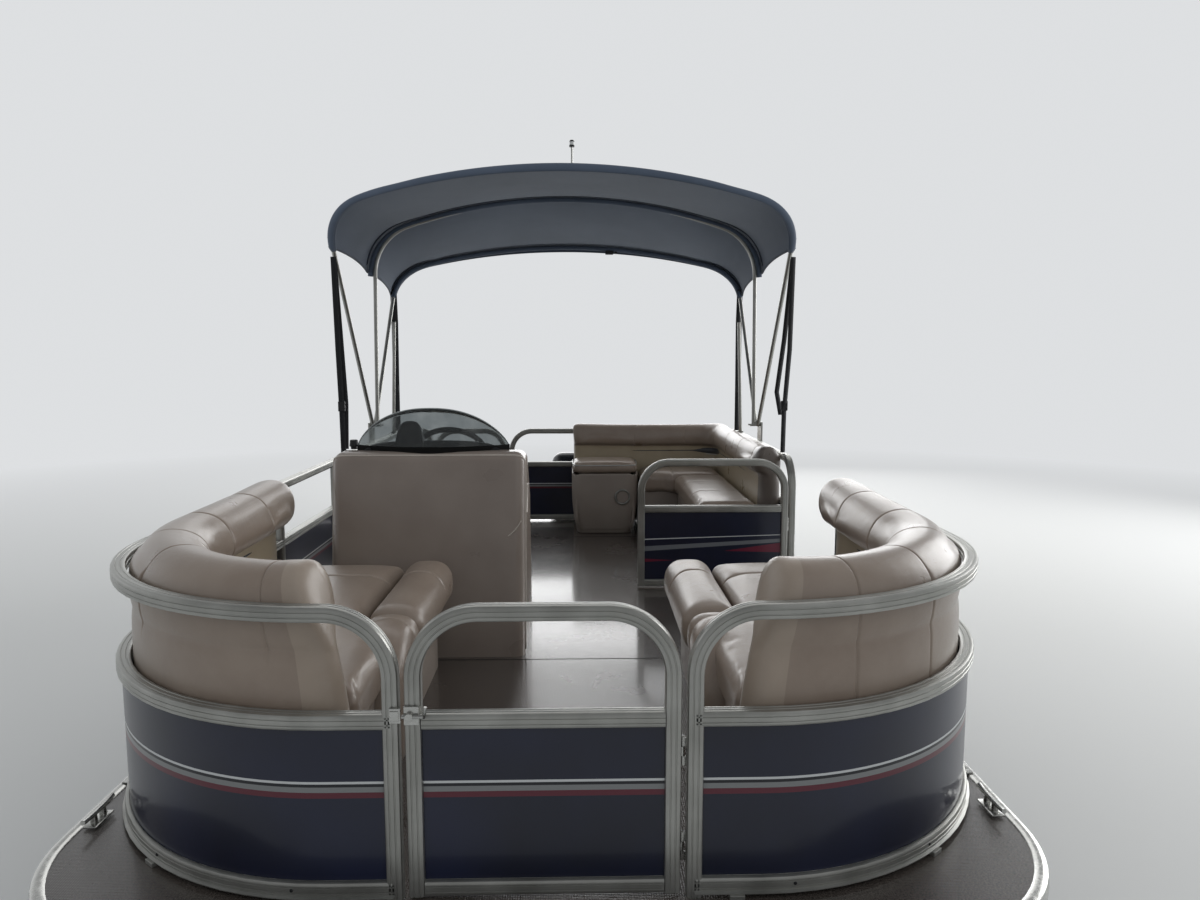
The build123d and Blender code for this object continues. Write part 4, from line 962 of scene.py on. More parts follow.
# Bimini: each bow's foot along the boat, its lean forward in degrees and its length to the crown
BOWS = {"front": (3.650, 37, 1.762), "mid": (3.650, -3, 1.440), "rear": (3.710, -37, 1.565)}
PIVOT_Z, BOW_HALF, BOW_R, CORNER_R = 0.815, 1.246, 0.0125, 0.320
CROWN_RISE, HEM_DROP = 0.255, 0.230
CANOPY_LIFT, CLOTH = 0.0215, 0.0016               # from a bow's centre line to the sheet, and its thickness
INSIDE_Z = 1.15                                   # the canopy draws in towards a line at this height
ACROSS, BETWEEN, WRAP = 72, 14, 5                 # the sheet's columns, and its rows between bows and round one
BLEND_REACH = 0.64                                # each way from the middle bow to the points start and end, which canopy() works out and does not use


def arch_points(length, half, count):
    """Even points along a bow's line from hem to hem, as (x, height along the bow)."""
    crown_r = (half**2 + CROWN_RISE**2) / (2 * CROWN_RISE)
    centre_l = length - crown_r
    corner_l = centre_l + ((crown_r - CORNER_R) ** 2 - (half - CORNER_R) ** 2) ** 0.5
    tilt = atan2(corner_l - centre_l, half - CORNER_R)
    hem = length - CROWN_RISE - HEM_DROP
    side = [(half, hem + (corner_l - hem) * i / 12) for i in range(12)]
    side += [(half - CORNER_R + CORNER_R * cos(tilt * i / 16), corner_l + CORNER_R * sin(tilt * i / 16))
             for i in range(16)]
    side += [(crown_r * cos(tilt + (pi / 2 - tilt) * i / 30), centre_l + crown_r * sin(tilt + (pi / 2 - tilt) * i / 30))
             for i in range(31)]
    line = [(-x, l) for x, l in side[:-1]] + side[::-1]
    run = [0.0]
    for (x0, l0), (x1, l1) in zip(line, line[1:]):
        run.append(run[-1] + hypot(x1 - x0, l1 - l0))
    spots = []
    for i in range(count + 1):
        goal = run[-1] * i / count
        k = min(max(j for j, d in enumerate(run) if d <= goal + 1e-9), len(line) - 2)
        share = (goal - run[k]) / (run[k + 1] - run[k])
        spots.append((line[k][0] + (line[k + 1][0] - line[k][0]) * share,
                      line[k][1] + (line[k + 1][1] - line[k][1]) * share))
    return spots


def on_bow(name, x, along, ahead=0.0):
    """A point of a bow's plane, or ahead of it, from the gate and the floor."""
    foot, lean, _ = BOWS[name]
    c, d = cos(radians(lean)), sin(radians(lean))
    return Vector((x, foot - along * d - ahead * c, PIVOT_Z + along * c - ahead * d))


def canopy():
    """One sheet over three bows: wrapped round the outer two, drawn in between them, puckered at the corners."""
    lines = {name: arch_points(BOWS[name][2] + CANOPY_LIFT, BOW_HALF + CANOPY_LIFT, ACROSS) for name in BOWS}

    def towards_inside(spot):
        return (Vector((0, spot.y, INSIDE_Z)) - spot).normalized()

    def surface(column, w, lift=0.0):
        """w runs 0 at the front bow, 1 at the middle one, 2 at the rear one; column may fall between two."""
        pair = ("front", "mid") if w < 1 else ("mid", "rear")
        share = w - (w >= 1)
        bowed = 4 * share * (1 - share)
        t = 0.5 + (column / ACROSS - 0.5) * (1 - 0.020 * bowed)
        k = min(int(t * ACROSS), ACROSS - 1)
        ends = []
        for name in pair:
            (x0, l0), (x1, l1) = lines[name][k], lines[name][k + 1]
            f = t * ACROSS - k
            ends.append(on_bow(name, x0 + (x1 - x0) * f, l0 + (l1 - l0) * f))
        spot = ends[0].lerp(ends[1], share)
        corner = max(0.0, 1 - abs(abs(t - 0.5) - 0.33) / 0.12)
        pucker = corner * 0.004 * sin(w * 21 + column * 0.9) * (1 - bowed) ** 2
        return spot + towards_inside(spot) * (0.024 * bowed ** 0.8 + 0.012 * corner * bowed + pucker - lift)

    def edge(name, column, turn, forward):
        """The sheet's wrap round an outer bow, turned from its outside to its inside."""
        x, along = lines[name][column]
        centre = on_bow(name, x, along)
        ahead = (on_bow(name, x, along, forward) - centre).normalized()
        return centre + (towards_inside(centre) * (1 - cos(turn)) + ahead * sin(turn)) * CANOPY_LIFT

    rows = [("front", radians(150 - 30 * i)) for i in range(WRAP)]
    rows += [(None, i / BETWEEN) for i in range(2 * BETWEEN + 1)]
    rows += [("rear", radians(30 + 30 * i)) for i in range(WRAP)]

    def place(column, row):
        kind, value = rows[row]
        if kind is None:
            return at(*surface(column, value))
        return at(*edge(kind, column, value, 1 if kind == "front" else -1))

    turning = radians(BOWS["mid"][1])
    ahead = Vector((0, -cos(turning), -sin(turning)))
    middle = at(0, BOWS["mid"][0], PIVOT_Z)
    start, end = middle - ahead * BLEND_REACH, middle + ahead * BLEND_REACH
    bm = bmesh.new()
    bent_grid(bm, ACROSS, len(rows) - 1, place)
    sheet = piece("canopy", bm, "canvas", None, ("bimini_canopy",), sharp=0, subdivide=1)
    thicken(sheet, CLOTH)
    tuple(start)
    tuple(end)
    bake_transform(sheet)
    bm = bmesh.new()
    for w in (0.045, 0.075, 0.940, 0.965, 1.035, 1.060, 1.925, 1.955):
        for lift in (CLOTH, -CLOTH):
            line = [at(*surface(column, w, lift)) for column in range(1, ACROSS, 2)]
            pipe(bm, line, CLOTH, sides=1, smoothness=3)
    for column, radius in ((0, 0.0035), (1.4, 0.0018), (ACROSS, 0.0035), (ACROSS - 1.4, 0.0018)):
        pipe(bm, [at(*surface(column, w / 8)) for w in range(17)], radius, sides=1)
    seams = piece("canopy_seams", bm, "thread", None, sharp=0)
    tuple(start)
    tuple(end)
    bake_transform(seams)
    for name, body in (("front", "bimini_front"), ("mid", "bimini_mid"), ("rear", "boat")):
        line = [at(*on_bow(name, x, along)) for x, along in arch_points(BOWS[name][2], BOW_HALF, 36)]
        fitting(f"{name}_bow_sleeve", "canvas", body, lines=((line, 0.0165),), sharp=0)
    x, y, z = on_bow("rear", 0.310, BOWS["rear"][2] - 0.022)
    fitting("rear_bow_clip", "black", "boat", (((x - 0.030, y - 0.016, z - 0.034), (x + 0.030, y + 0.016, z - 0.006)),
                                               ((x + 0.040, y - 0.010, z - 0.024), (x + 0.060, y + 0.010, z - 0.008))),
            bevel=0.004)


def strap(name, points, width=0.028, foot=None, buckle=None):
    """Flat webbing through points, and a buckle; one with a foot gets meshes of its own."""
    spans = len(points) - 1
    count = 6 * spans

    def place(column, row):
        k = min(int(row / count * spans), spans - 1)
        spot = Vector(points[k]).lerp(Vector(points[k + 1]), row / count * spans - k)
        return at(spot.x + (column - 0.5) * width, spot.y + (column - 0.5) * width * 0.3, spot.z)

    bm = bmesh.new()
    bent_grid(bm, 1, count, place)
    made = [piece(name, bm, "webbing", "boat", sharp=0)]
    thicken(made[0], 0.002)
    if buckle:
        x, y, z = buckle
        made.append(fitting(f"{name}_buckle", "black", "boat",
                            (((x - 0.019, y - 0.007, z - 0.028), (x + 0.019, y + 0.007, z + 0.028)),
                             ((x - 0.012, y - 0.009, z - 0.010), (x + 0.012, y + 0.009, z + 0.010))), bevel=0.003))
    for one in made:
        if foot:
            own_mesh(one)


def straps():
    """Black webbing: a doubled strap on each side of the front bow, the starboard one to its foot, two at the rear."""
    rail_z = 0.716
    for name, side, y_top, y_foot in (("starboard", -1, 2.87, 2.95), ("port", 1, 2.82, 2.96)):
        x = side * 1.246
        foot = (x, y_foot, rail_z)
        line = [foot, (x, y_foot - 0.01, 0.95), (x + side * 0.004, y_top + 0.05, 1.30), (x, y_top, 1.80)]
        strap(f"{name}_front_strap", line, foot=foot, buckle=(x, y_foot - 0.012, 0.985))
        if side < 0:
            tail = [(x + 0.004, y_foot + 0.036, 0.74), (x + 0.012, y_foot + 0.03, 1.00),
                    (x + 0.004, y_top + 0.07, 1.40)]
        else:
            tail = [(x - 0.010, y_foot + 0.030, 0.93), (x - 0.034, y_foot + 0.034, 1.06),
                    (x - 0.020, y_top + 0.08, 1.36)]
        strap(f"{name}_front_strap_tail", tail + [(x, y_top + 0.012, 1.79)], foot=foot)
        x = side * 1.249
        line = [(x, 4.395, rail_z), (x, 4.40, 1.10), (x - side * 0.004, 4.392, 1.50), (x, 4.385, 1.74)]
        strap(f"{name}_rear_strap", line, width=0.044, buckle=(x, 4.40, 1.02))


# The helm console: its sides, its front's foot and top along the boat, its height, and its dash's slope
CONSOLE_X, CONSOLE_FOOT, CONSOLE_TOP = (-0.970, -0.150), 1.635, 1.750
CONSOLE_H, DASH_Y, DASH_END, DASH_Z = 0.860, 1.900, 2.120, 0.620
CONSOLE_R = 0.046                                 # its front edges' radius
DASH_TURN = atan2(CONSOLE_H - DASH_Z, DASH_END - DASH_Y)
DASH_NORMAL = Vector((0, sin(DASH_TURN), cos(DASH_TURN)))


def on_dash(x, down, proud=0.0):
    """A place on the dash's slope, down from its upper edge."""
    return at(x, DASH_Y + down * cos(DASH_TURN), CONSOLE_H - down * sin(DASH_TURN)) + DASH_NORMAL * proud


def console():
    """The helm console's shell: one moulding with a rounded front and an open back."""
    x0, x1 = CONSOLE_X
    side = [(CONSOLE_FOOT, 0), (CONSOLE_TOP, CONSOLE_H), (DASH_Y, CONSOLE_H), (DASH_END, DASH_Z),
            (DASH_END, DASH_Z - 0.070), (CONSOLE_FOOT + 0.560, 0)]
    bm = bmesh.new()
    extruded(bm, [at(x0, y, z) for y, z in side], (x1 - x0, 0, 0))
    bmesh.ops.recalc_face_normals(bm, faces=bm.faces)
    front = [e for e in bm.edges if abs(e.verts[0].co.x - e.verts[1].co.x) < 1e-5
             and max(v.co.y for v in e.verts) < GATE_Y + CONSOLE_TOP + 0.01
             and abs(e.verts[0].co.z - e.verts[1].co.z) > 0.5]
    crown = [e for e in bm.edges if min(v.co.z for v in e.verts) > FLOOR + CONSOLE_H - 0.001
             and max(v.co.y for v in e.verts) < GATE_Y + DASH_Y + 0.001
             and abs(e.link_faces[0].normal.z - e.link_faces[1].normal.z) > 0.3]
    bmesh.ops.bevel(bm, geom=front + crown, offset=CONSOLE_R, affect="EDGES", segments=7, profile=0.5,
                    material=-1)
    back = [f for f in bm.faces if f.normal.y > 0.9 and f.calc_center_median().z < FLOOR + 0.4]
    bmesh.ops.inset_region(bm, faces=back, thickness=0.020, use_even_offset=True)
    hollow = verts_of(bmesh.ops.extrude_face_region(bm, geom=back)["geom"])
    bmesh.ops.delete(bm, geom=back, context="FACES")
    bmesh.ops.translate(bm, verts=hollow, vec=(0, -0.340, 0))
    piece("helm_console_shell", bm, "console", "boat", ("helm_console",), sharp=32)


def console_beads_and_painted_highlights():
    """Pale beads, partly painted highlight: one up the console's front edges and over its top, whose runs up the front
    edges paint those round edges' highlight, a curved one on its front that paints a highlight in a recess, one to
    port.
    """
    x0, x1 = CONSOLE_X
    lean, top = (CONSOLE_TOP - CONSOLE_FOOT) / CONSOLE_H, CONSOLE_H

    def on_front(x, z, deep=0.001):
        return at(x, CONSOLE_FOOT + lean * z + deep, z)

    # Up one edge and in over the top: inward from the side, height, and behind the front's plane. Up the edges the pale
    # line is the round edges' highlight, painted
    edge = [(0, z, CONSOLE_R * 0.9) for z in (0.02, 0.25, 0.50, 0.70, top - 0.060)]
    edge += [(0.0035, top - 0.0336, 0.0336), (0.0135, top - 0.0230, 0.0230), (0.0284, top - 0.0160, 0.0160),
             (0.0460, top - 0.0135, 0.0135), (0.2500, top - 0.0135, 0.0135)]
    line = [(x0 + inward, z, deep) for inward, z, deep in edge]
    line += [(x1 - inward, z, deep) for inward, z, deep in edge[::-1]]
    # A pale curve on the front: a recess's highlight, painted
    curve = ((-0.222, 0.506), (-0.200, 0.522), (-0.180, 0.546), (-0.165, 0.572))
    handle = ((1.770, 0.592), (1.800, 0.618), (1.835, 0.665), (1.850, 0.715))
    bm = bmesh.new()
    pipe(bm, [on_front(*spot) for spot in line], 0.0045, smoothness=10)
    pipe(bm, [on_front(x, z) for x, z in curve], 0.0030)
    pipe(bm, [at(x1 + 0.001, y, z) for y, z in handle], 0.0075)
    piece("helm_console_beads_painted_highlights", bm, "bead", "boat", sharp=0)


# Dials: across the boat, down the dash, radius of the ring
DIALS = ((-0.760, 0.085, 0.043), (-0.655, 0.070, 0.034), (-0.510, 0.060, 0.046), (-0.365, 0.070, 0.034),
         (-0.265, 0.085, 0.034))
HOODS = ((-0.560, 1.868, 0.300, 0.030, 0.042), (-0.655, 1.862, 0.066, 0.036, 0.128))    # x, y, wide, deep, tall


def dash():
    """A raised panel with ringed dials and two rows of switches on the slope, and two hoods on the top."""
    bm = bmesh.new()
    for vert in bmesh.ops.create_grid(bm, x_segments=18, y_segments=8, size=1)["verts"]:
        u, v = vert.co.x, vert.co.y
        vert.co = on_dash(-0.560 + 0.355 * u, 0.150 + 0.125 * v, 0.0035 + 0.012 * (1 - u**6) * (1 - v**6))
    piece("dash_panel", bm, "black", "boat", sharp=0, subdivide=1)
    for name, finish, proud, less, height, taper in (("dash_gauge_rings", "rail", 0.012, 0, 0.010, 0.93),
                                                     ("dash_gauge_faces", "enamel", 0.0215, 0.005, 0.0012, 1)):
        fitting(name, finish, "boat", sharp=30,
                bosses=[(on_dash(x, down, proud), DASH_NORMAL, radius - less, height, (radius - less) * taper)
                        for x, down, radius in DIALS])
    bm = bmesh.new()
    for x in (-0.735, -0.701, -0.667, -0.315, -0.281, -0.247):
        block(bm, (0.018, 0.034, 0.016), turned(DASH_NORMAL, on_dash(x, 0.200, 0.018)))
    piece("dash_switches", bm, "black", "boat", bevel=0.002)
    bm = bmesh.new()
    for x, y, wide, deep, tall in HOODS:
        for vert in bmesh.ops.create_grid(bm, x_segments=20, y_segments=10, size=1)["verts"]:
            u, v = vert.co.x, vert.co.y
            height = tall * ((1 - abs(u) ** 3) * (1 - abs(v) ** 2.5)) ** 0.5
            vert.co = at(x + u * wide, y + v * deep, CONSOLE_H - 0.001 + height)
    piece("dash_hood", bm, "black", "boat", sharp=0, subdivide=1)


def throttle():
    """The throttle's box on the dash's starboard end, and its lever with a rubber grip."""
    x, y, z = CONSOLE_X[0] + 0.090, DASH_END - 0.070, DASH_Z
    fitting("throttle_box", "black", "boat", (((x - 0.030, y - 0.045, z - 0.020), (x + 0.030, y + 0.060, z + 0.118)),),
            ((at(x + 0.030, y + 0.005, z + 0.075), PORT, 0.026, 0.012),), stands_for=("helm_controls",), bevel=0.006)
    lever = ((0.038, 0.005, 0.075), (0.040, 0.012, 0.12), (0.022, 0.030, 0.17), (0.005, 0.034, 0.195))
    lever = [at(x + a, y + b, z + c) for a, b, c in lever]
    fitting("throttle_lever", "rail", "boat", lines=((lever, 0.0065),), sharp=0)
    bm = bmesh.new()
    bmesh.ops.create_uvsphere(bm, u_segments=20, v_segments=12, radius=1)
    bmesh.ops.scale(bm, verts=bm.verts, vec=(0.036, 0.017, 0.017))
    bmesh.ops.translate(bm, verts=bm.verts, vec=at(x + 0.004, y + 0.036, z + 0.208))
    piece("throttle_grip", bm, "rubber", "boat", sharp=0)


def steering_wheel():
    """A padded rim on three tapered spokes, with a domed hub, and its bezel on the dash."""
    centre = at(-0.510, (DASH_Y + DASH_END) / 2, (CONSOLE_H + DASH_Z) / 2) + DASH_NORMAL * 0.120
    place = turned(DASH_NORMAL, centre)
    up = (place.to_3x3().inverted() @ Vector((0, -cos(DASH_TURN), sin(DASH_TURN)))).normalized()
    first = atan2(up.y, up.x)
    bm = bmesh.new()
    ring = bmesh.ops.create_circle(bm, cap_ends=False, segments=14, radius=0.0125)["verts"]
    bmesh.ops.rotate(bm, verts=ring, cent=(0, 0, 0), matrix=Matrix.Rotation(pi / 2, 3, "X"))
    bmesh.ops.translate(bm, verts=ring, vec=(0.157, 0, 0))
    bmesh.ops.spin(bm, geom=bm.edges[:], cent=(0, 0, 0), axis=(0, 0, 1), dvec=(0, 0, 0), angle=2 * pi, steps=64,
                   use_merge=True)
    bmesh.ops.transform(bm, matrix=place, verts=bm.verts)
    piece("wheel_rim", bm, "rubber", "wheel", ("steering_wheel",), sharp=0)
    bm = bmesh.new()
    for k in range(3):
        turn = first + pi + k * 2 * pi / 3
        made = bmesh.ops.create_grid(bm, x_segments=10, y_segments=3, size=0.5)["verts"]
        for vert in made:
            along, across = 0.032 + (vert.co.x + 0.5) * 0.118, vert.co.y * 2
            wide = 0.017 - 0.006 * sin(pi * (vert.co.x + 0.5))
            drop = -0.026 * (1 - (vert.co.x + 0.5)) ** 1.5
            vert.co = Matrix.Rotation(turn, 3, "Z") @ Vector((along, across * wide, drop - 0.002 * across**2))
    bmesh.ops.solidify(bm, geom=bm.faces[:], thickness=0.006)
    disc(bm, -0.045 * UP, UP, 0.042, 0.030, 0.034)
    disc(bm, -0.118 * UP, UP, 0.014, 0.074)
    bmesh.ops.transform(bm, matrix=place, verts=bm.verts)
    piece("wheel_spokes", bm, "rail", "wheel", sharp=35, bevel=0.001)
    for name, body, down, *sizes in (("wheel_cap", "wheel", 0.015, 0.030, 0.006, 0.022),
                                     ("wheel_bezel", "boat", 0.1195, 0.048, 0.022, 0.030)):
        fitting(name, "black", body, bosses=((centre - DASH_NORMAL * down, DASH_NORMAL, *sizes),), bevel=0.001)


def screen_fittings():
    """The windscreen, arched and curved in plan, with its black foot strip and a pale edge along its crest that is
    partly the edge's painted highlight, and the horn beside it.
    """
    bm = bmesh.new()
    reach, sag, y0, x_mid = 0.335, 0.120, 1.775, (CONSOLE_X[0] + CONSOLE_X[1]) / 2
    bow = (reach**2 + sag**2) / (2 * sag)

    def on_screen(u, z, out=0.0):
        x = reach * u
        return at(x_mid + x, y0 - out + bow - (bow**2 - x**2) ** 0.5, CONSOLE_H + z)

    rows = 26
    bent_grid(bm, 1, rows, lambda column, row: on_screen(-1 + 2 * row / rows, 0.001 + 0.020 * column, 0.004))
    bmesh.ops.solidify(bm, geom=bm.faces[:], thickness=0.014)
    piece("windscreen_foot", bm, "rubber", "boat")

    def crest(u):
        return 0.010 + 0.174 * (1 - abs(u) ** 2.3) ** 0.75

    across, tall = 48, 10

    def on_sheet(column, row):
        u = -0.995 + 1.99 * column / across
        z = 0.002 + (crest(u) - 0.002) * row / tall
        return on_screen(u, z, -0.20 * z * (1 - u * u))

    bm = bmesh.new()
    bent_grid(bm, across, tall, on_sheet)
    sheet = piece("windscreen_sheet", bm, "smoke", "boat", ("windscreen",), sharp=30)
    thicken(sheet, 0.0045)
    # A pale round line on the crest: the sheet's edge, with the highlight it catches painted into its colour
    crest_line = [on_sheet(column, tall) for column in range(across + 1)]
    fitting("windscreen_edge_painted_highlight", "screen_edge", "boat", lines=((crest_line, 0.0030),), sharp=0)
    foot = at(x_mid - reach - 0.018, 1.905, CONSOLE_H - 0.001)
    fitting("horn_fitting", "black", "boat", bosses=((foot, UP, 0.014, 0.012),
                                                     (foot + UP * 0.012, UP, 0.020, 0.030, 0.017)), bevel=0.003)


def deck_edge():
    """The deck's rounded edge trim, swept round the plan and the motor's well, and the seams of its covering."""
    nose = [(0.000, -0.081), (-0.001, -0.072), (-0.0035, -0.050), (-0.0045, -0.026), (-0.0035, -0.010),
            (-0.001, 0.000), (0.004, 0.0035), (0.012, 0.0045), (0.026, 0.0035), (0.030, 0.0012), (0.030, 0.0003),
            (0.006, -0.004), (0.004, -0.081)]
    wide, front, stern, well, well_y = 1.295, -0.160, 5.340, 0.350, 4.920
    inner_r, well_r, stern_r, bow_r = 0.010, 0.034, 0.060, 0.450
    half = [("line", well - inner_r), ("turn", inner_r, -90), ("line", stern - well_y - inner_r - well_r),
            ("turn", well_r, 90), ("line", wide - well - well_r - stern_r), ("turn", stern_r, 90),
            ("line", stern - front - stern_r - bow_r), ("turn", bow_r, 90)]
    bm = bmesh.new()
    sweep(bm, nose, at(0, well_y, 0), (-1, 0, 0), half + [("line", 2 * (wide - bow_r))] + half[::-1])
    piece("deck_edge_trim", bm, "bright", "boat", ("deck_trim",), sharp=35)
    fitting("deck_seams", "rubber", "boat", [((-1.21, y, 0.0), (1.21, y + 0.004, 0.0009)) for y in (1.603, 4.03)])


def cleats():
    """Four cast cleats: a bevelled foot with two screws, two stems and a horn drawn out to round tips."""
    places = [(x, y) for x in (-1.240, 1.240) for y in (0.372, 5.190)]
    horn = [(-0.074, 0.038), (-0.060, 0.035), (-0.020, 0.0335), (0.020, 0.0335), (0.060, 0.035), (0.074, 0.038)]
    bm = bmesh.new()
    for x, y in places:
        slab(bm, (x - 0.018, y - 0.045, 0.0045), (x + 0.018, y + 0.045, 0.010))
        for off in (-0.022, 0.022):
            disc(bm, at(x, y + off, 0.009), UP, 0.010, 0.024, 0.008)
        for off in (-0.036, 0.036):
            disc(bm, at(x, y + off, 0.010), UP, 0.005, 0.0015, segments=12)
    bmesh.ops.bevel(bm, geom=[e for e in bm.edges if e.calc_length() > 0.03], offset=0.002, affect="EDGES",
                    segments=2, profile=0.5, material=-1)
    for x, y in places:
        pipe(bm, [at(x, y + along, z) for along, z in horn], 0.0068)
    piece("cast_cleats", bm, "bright", "boat", ("deck_cleats",))


def corner_plates():
    """Three-cornered plates with a bolt on the deck's edge, abreast of the fence's round corners."""
    plan, thickness = ((1.218, 0.560), (1.284, 0.575), (1.284, 0.690)), 0.004
    bm = bmesh.new()
    for side in (-1, 1):
        extruded(bm, [at(side * x, y, 0.0045) for x, y in plan], UP * thickness)
        disc(bm, at(side * 1.266, 0.602, 0.008), UP, 0.0085, 0.006, segments=6)
    piece("corner_plates", bm, "bright", "boat", bevel=0.0012)


# Hinges: the pin, then the leaf on the boat and the leaf on the gate, each from corner to corner
HINGES = {
    "bow_gate": ((0.326, 0.046), ((0.326, 0.0383), (0.356, 0.0415)), ((0.296, 0.0383), (0.326, 0.0415))),
    "side_gate": ((1.227, 2.732), ((1.2315, 2.732), (1.2347, 2.762)), ((1.197, 2.7243), (1.227, 2.7275))),
    "stern_gate": ((-1.031, 4.594), ((-1.061, 4.5985), (-1.031, 4.6017)), ((-1.031, 4.5985), (-1.001, 4.6017))),
}
HINGE_FEET = (0.072, 0.310)
KNUCKLES = ((0.0, 0.023), (0.047, 0.070)), ((0.0235, 0.0465),)    # the boat's two and the gate's one, over the foot
KNUCKLE_R, PIN_R, LEAF_GAP = 0.0062, 0.0035, 0.0005


def gate_hardware():
    """Hinges with three knuckles, on both of their halves, and the bow gate's slide latch."""
    fixed = bmesh.new()
    for gate, ((x, y), *leaves) in HINGES.items():
        moving = bmesh.new()
        for bm, spans, (low, high) in zip((fixed, moving), KNUCKLES, leaves):
            for foot in HINGE_FEET:
                for z0, z1 in spans:
                    disc(bm, at(x, y, foot + z0), UP, KNUCKLE_R, z1 - z0, segments=16)
                    slab(bm, (*low, foot + z0 + LEAF_GAP), (*high, foot + z1 - LEAF_GAP))
                if bm is fixed:
                    disc(bm, at(x, y, foot - 0.002), UP, PIN_R, 0.074, segments=12)
        piece(f"{gate}_hinge_leaves", moving, "bright", gate, sharp=35)
    piece("hinge_leaves", fixed, "bright", "boat", sharp=35)
    fitting("latch_catch", "bright", "boat", (((-0.352, -0.0065, 0.440), (-0.326, 0.0, 0.476)),
                                              ((-0.350, -0.0085, 0.446), (-0.330, -0.0060, 0.470))), bevel=0.001)
    bolt = [at(x, -0.0100, 0.458) for x in (-0.3225, -0.300, -0.270)]
    handle = [at(-0.272, -0.010, 0.456), at(-0.268, -0.020, 0.470), at(-0.266, -0.022, 0.486)]
    fitting("latch_bolt", "bright", "bow_gate", (((-0.3185, -0.0060, 0.436), (-0.284, 0.0, 0.480)),),
            ((at(-0.306, -0.0060, 0.458), -AFT, 0.009, 0.010, None, 20),), ((bolt, 0.0052), (handle, 0.0042)),
            bevel=0.0008)


BOLT_FIRST, BOLT_PITCH, BOLTS = 0.26, 0.42, 7     # along each fence


def fence_feet():
    """Feet that carry the lower rail, with a tab outside it, and dark bolts along its face."""
    port, whole = corner_path((POST_X, 0), (1, 0), HALF - FRONT_R - POST_X, FRONT_R, SIDE_DOOR[0] - FRONT_R)
    stern, _ = corner_path((HALF, SIDE_DOOR[1]), (0, 1), LENGTH - REAR_R - SIDE_DOOR[1], REAR_R,
                           HALF - REAR_R - STERN_PORT_X, least=0.1)
    feet, bolts = bmesh.new(), bmesh.new()

    def face(path, s):
        """The fence's face at s, and the way it looks."""
        return path(s, 0.0).to_3d(), (path(s, 0.0) - path(s, 0.004)).normalized().to_3d()

    bow_feet = (0.12, 0.70, 1.20, 1.75, 2.50)
    for path, spots, side in ((port, bow_feet, 1), (stern, (0.10, 0.75, 1.40, 2.30, 3.20), 1), (port, bow_feet, -1)):
        for s in spots:
            spot, outward = face(path, s)
            x, y, _ = spot - outward * 0.002
            turn = Matrix.Rotation(atan2(outward.y, outward.x), 4, "Z")
            made = block(feet, (0.030, 0.036, 0.0116), Matrix.Translation(at(x, y, 0.0060)) @ turn)
            bmesh.ops.scale(feet, verts=made, vec=(side, 1, 1))
        for s in [BOLT_FIRST + k * BOLT_PITCH for k in range(BOLTS)]:
            if path is port and s > whole - 0.05:
                continue
            (x, y, _), outward = face(path, s)
            made = disc(bolts, at(x, y, BASE_Z + TUBE / 2), outward, 0.0045, 0.0022, 0.003, 12)
            bmesh.ops.scale(bolts, verts=made, vec=(side, 1, 1))
    piece("fence_feet", feet, "rail", "boat", bevel=0.0015)
    piece("fence_bolts", bolts, "black", "boat")


STORED_TILT, TILT_TUBE = 60, (0, 5.375, -0.178)   # degrees, and the tilt tube's centre


def running(bm):
    """Turns geometry drawn for the running motor, from its tilt tube's centre, to the stored tilt."""
    bmesh.ops.rotate(bm, verts=bm.verts, cent=(0, 0, 0), matrix=Matrix.Rotation(radians(STORED_TILT), 3, "X"))
    bmesh.ops.translate(bm, verts=bm.verts, vec=at(*TILT_TUBE))


def outboard():
    """The motor's cowl: a tapered moulding with a belt line, rear vents and a side crease."""
    low, high, bend = Vector((-0.164, 0.056, 0.097)), Vector((0.164, 0.514, 0.479)), 0.085

    def place(x, y, z):
        spot = rounded(Vector((x, y, z)), low, high, bend)
        up = (spot.z - low.z) / (high.z - low.z)
        back = (spot.y - low.y) / (high.y - low.y)
        spot.x *= 1 - 0.20 * up**2.2 - 0.05 * (1 - back)
        spot.y += 0.050 * up**2 * (1 - back) - 0.030 * up**3 * back
        spot.z -= 0.050 * up * (1 - back) ** 2 + 0.018 * up * (x / high.x) ** 2
        if abs(x) > 0.10:
            spot.x *= 1 - 0.020 * max(0.0, 1 - abs(up - 0.46) / 0.05)
        return spot

    bm = bmesh.new()
    box_grid(bm, spaced(low.x, high.x, 0.04, bend), spaced(low.y, high.y, 0.04, bend),
             spaced(low.z, high.z, 0.028, bend, seams=(0.272,)), place)
    running(bm)
    piece("cowl_shell", bm, "enamel", "outboard", ("motor_cowl",), sharp=0, subdivide=1)
    bm = bmesh.new()
    pipe(bm, [(x, 0.287 + y, 0.158) for x, y in oval(28, 0.157, 0.219, 0.55)], 0.007, closed=True)
    for k in range(4):
        vent = Matrix.Translation((0, 0.500 - k * 0.006, 0.290 + k * 0.026))
        block(bm, (0.120 - k * 0.012, 0.012, 0.008), vent)
    running(bm)
    piece("cowl_belt_and_vents", bm, "rubber", "outboard", sharp=35)


PONTOON_X, PONTOON_Z, PONTOON_R = 0.890, -0.440, 0.3048


def pontoon_seams():
    """Weld beads round each pontoon and the spray strakes under it."""
    bm = bmesh.new()
    for x in (-PONTOON_X, PONTOON_X):
        for y in (0.36, 1.58, 2.80, 4.02, 5.244):
            bead = [at(x + a, y, PONTOON_Z + b) for a, b in oval(32, PONTOON_R + 0.0004, PONTOON_R + 0.0004)]
            pipe(bm, bead, 0.0035, closed=True, sides=1, smoothness=2)
        for side in (-1, 1):
            strake = [at(x + side * 0.240, y, PONTOON_Z - 0.180) for y in (0.20, 0.5, 2.5, 4.9, 5.2)]
            pipe(bm, strake, 0.011, sides=2)
    piece("pontoon_welds", bm, "mill", "boat", sharp=0)


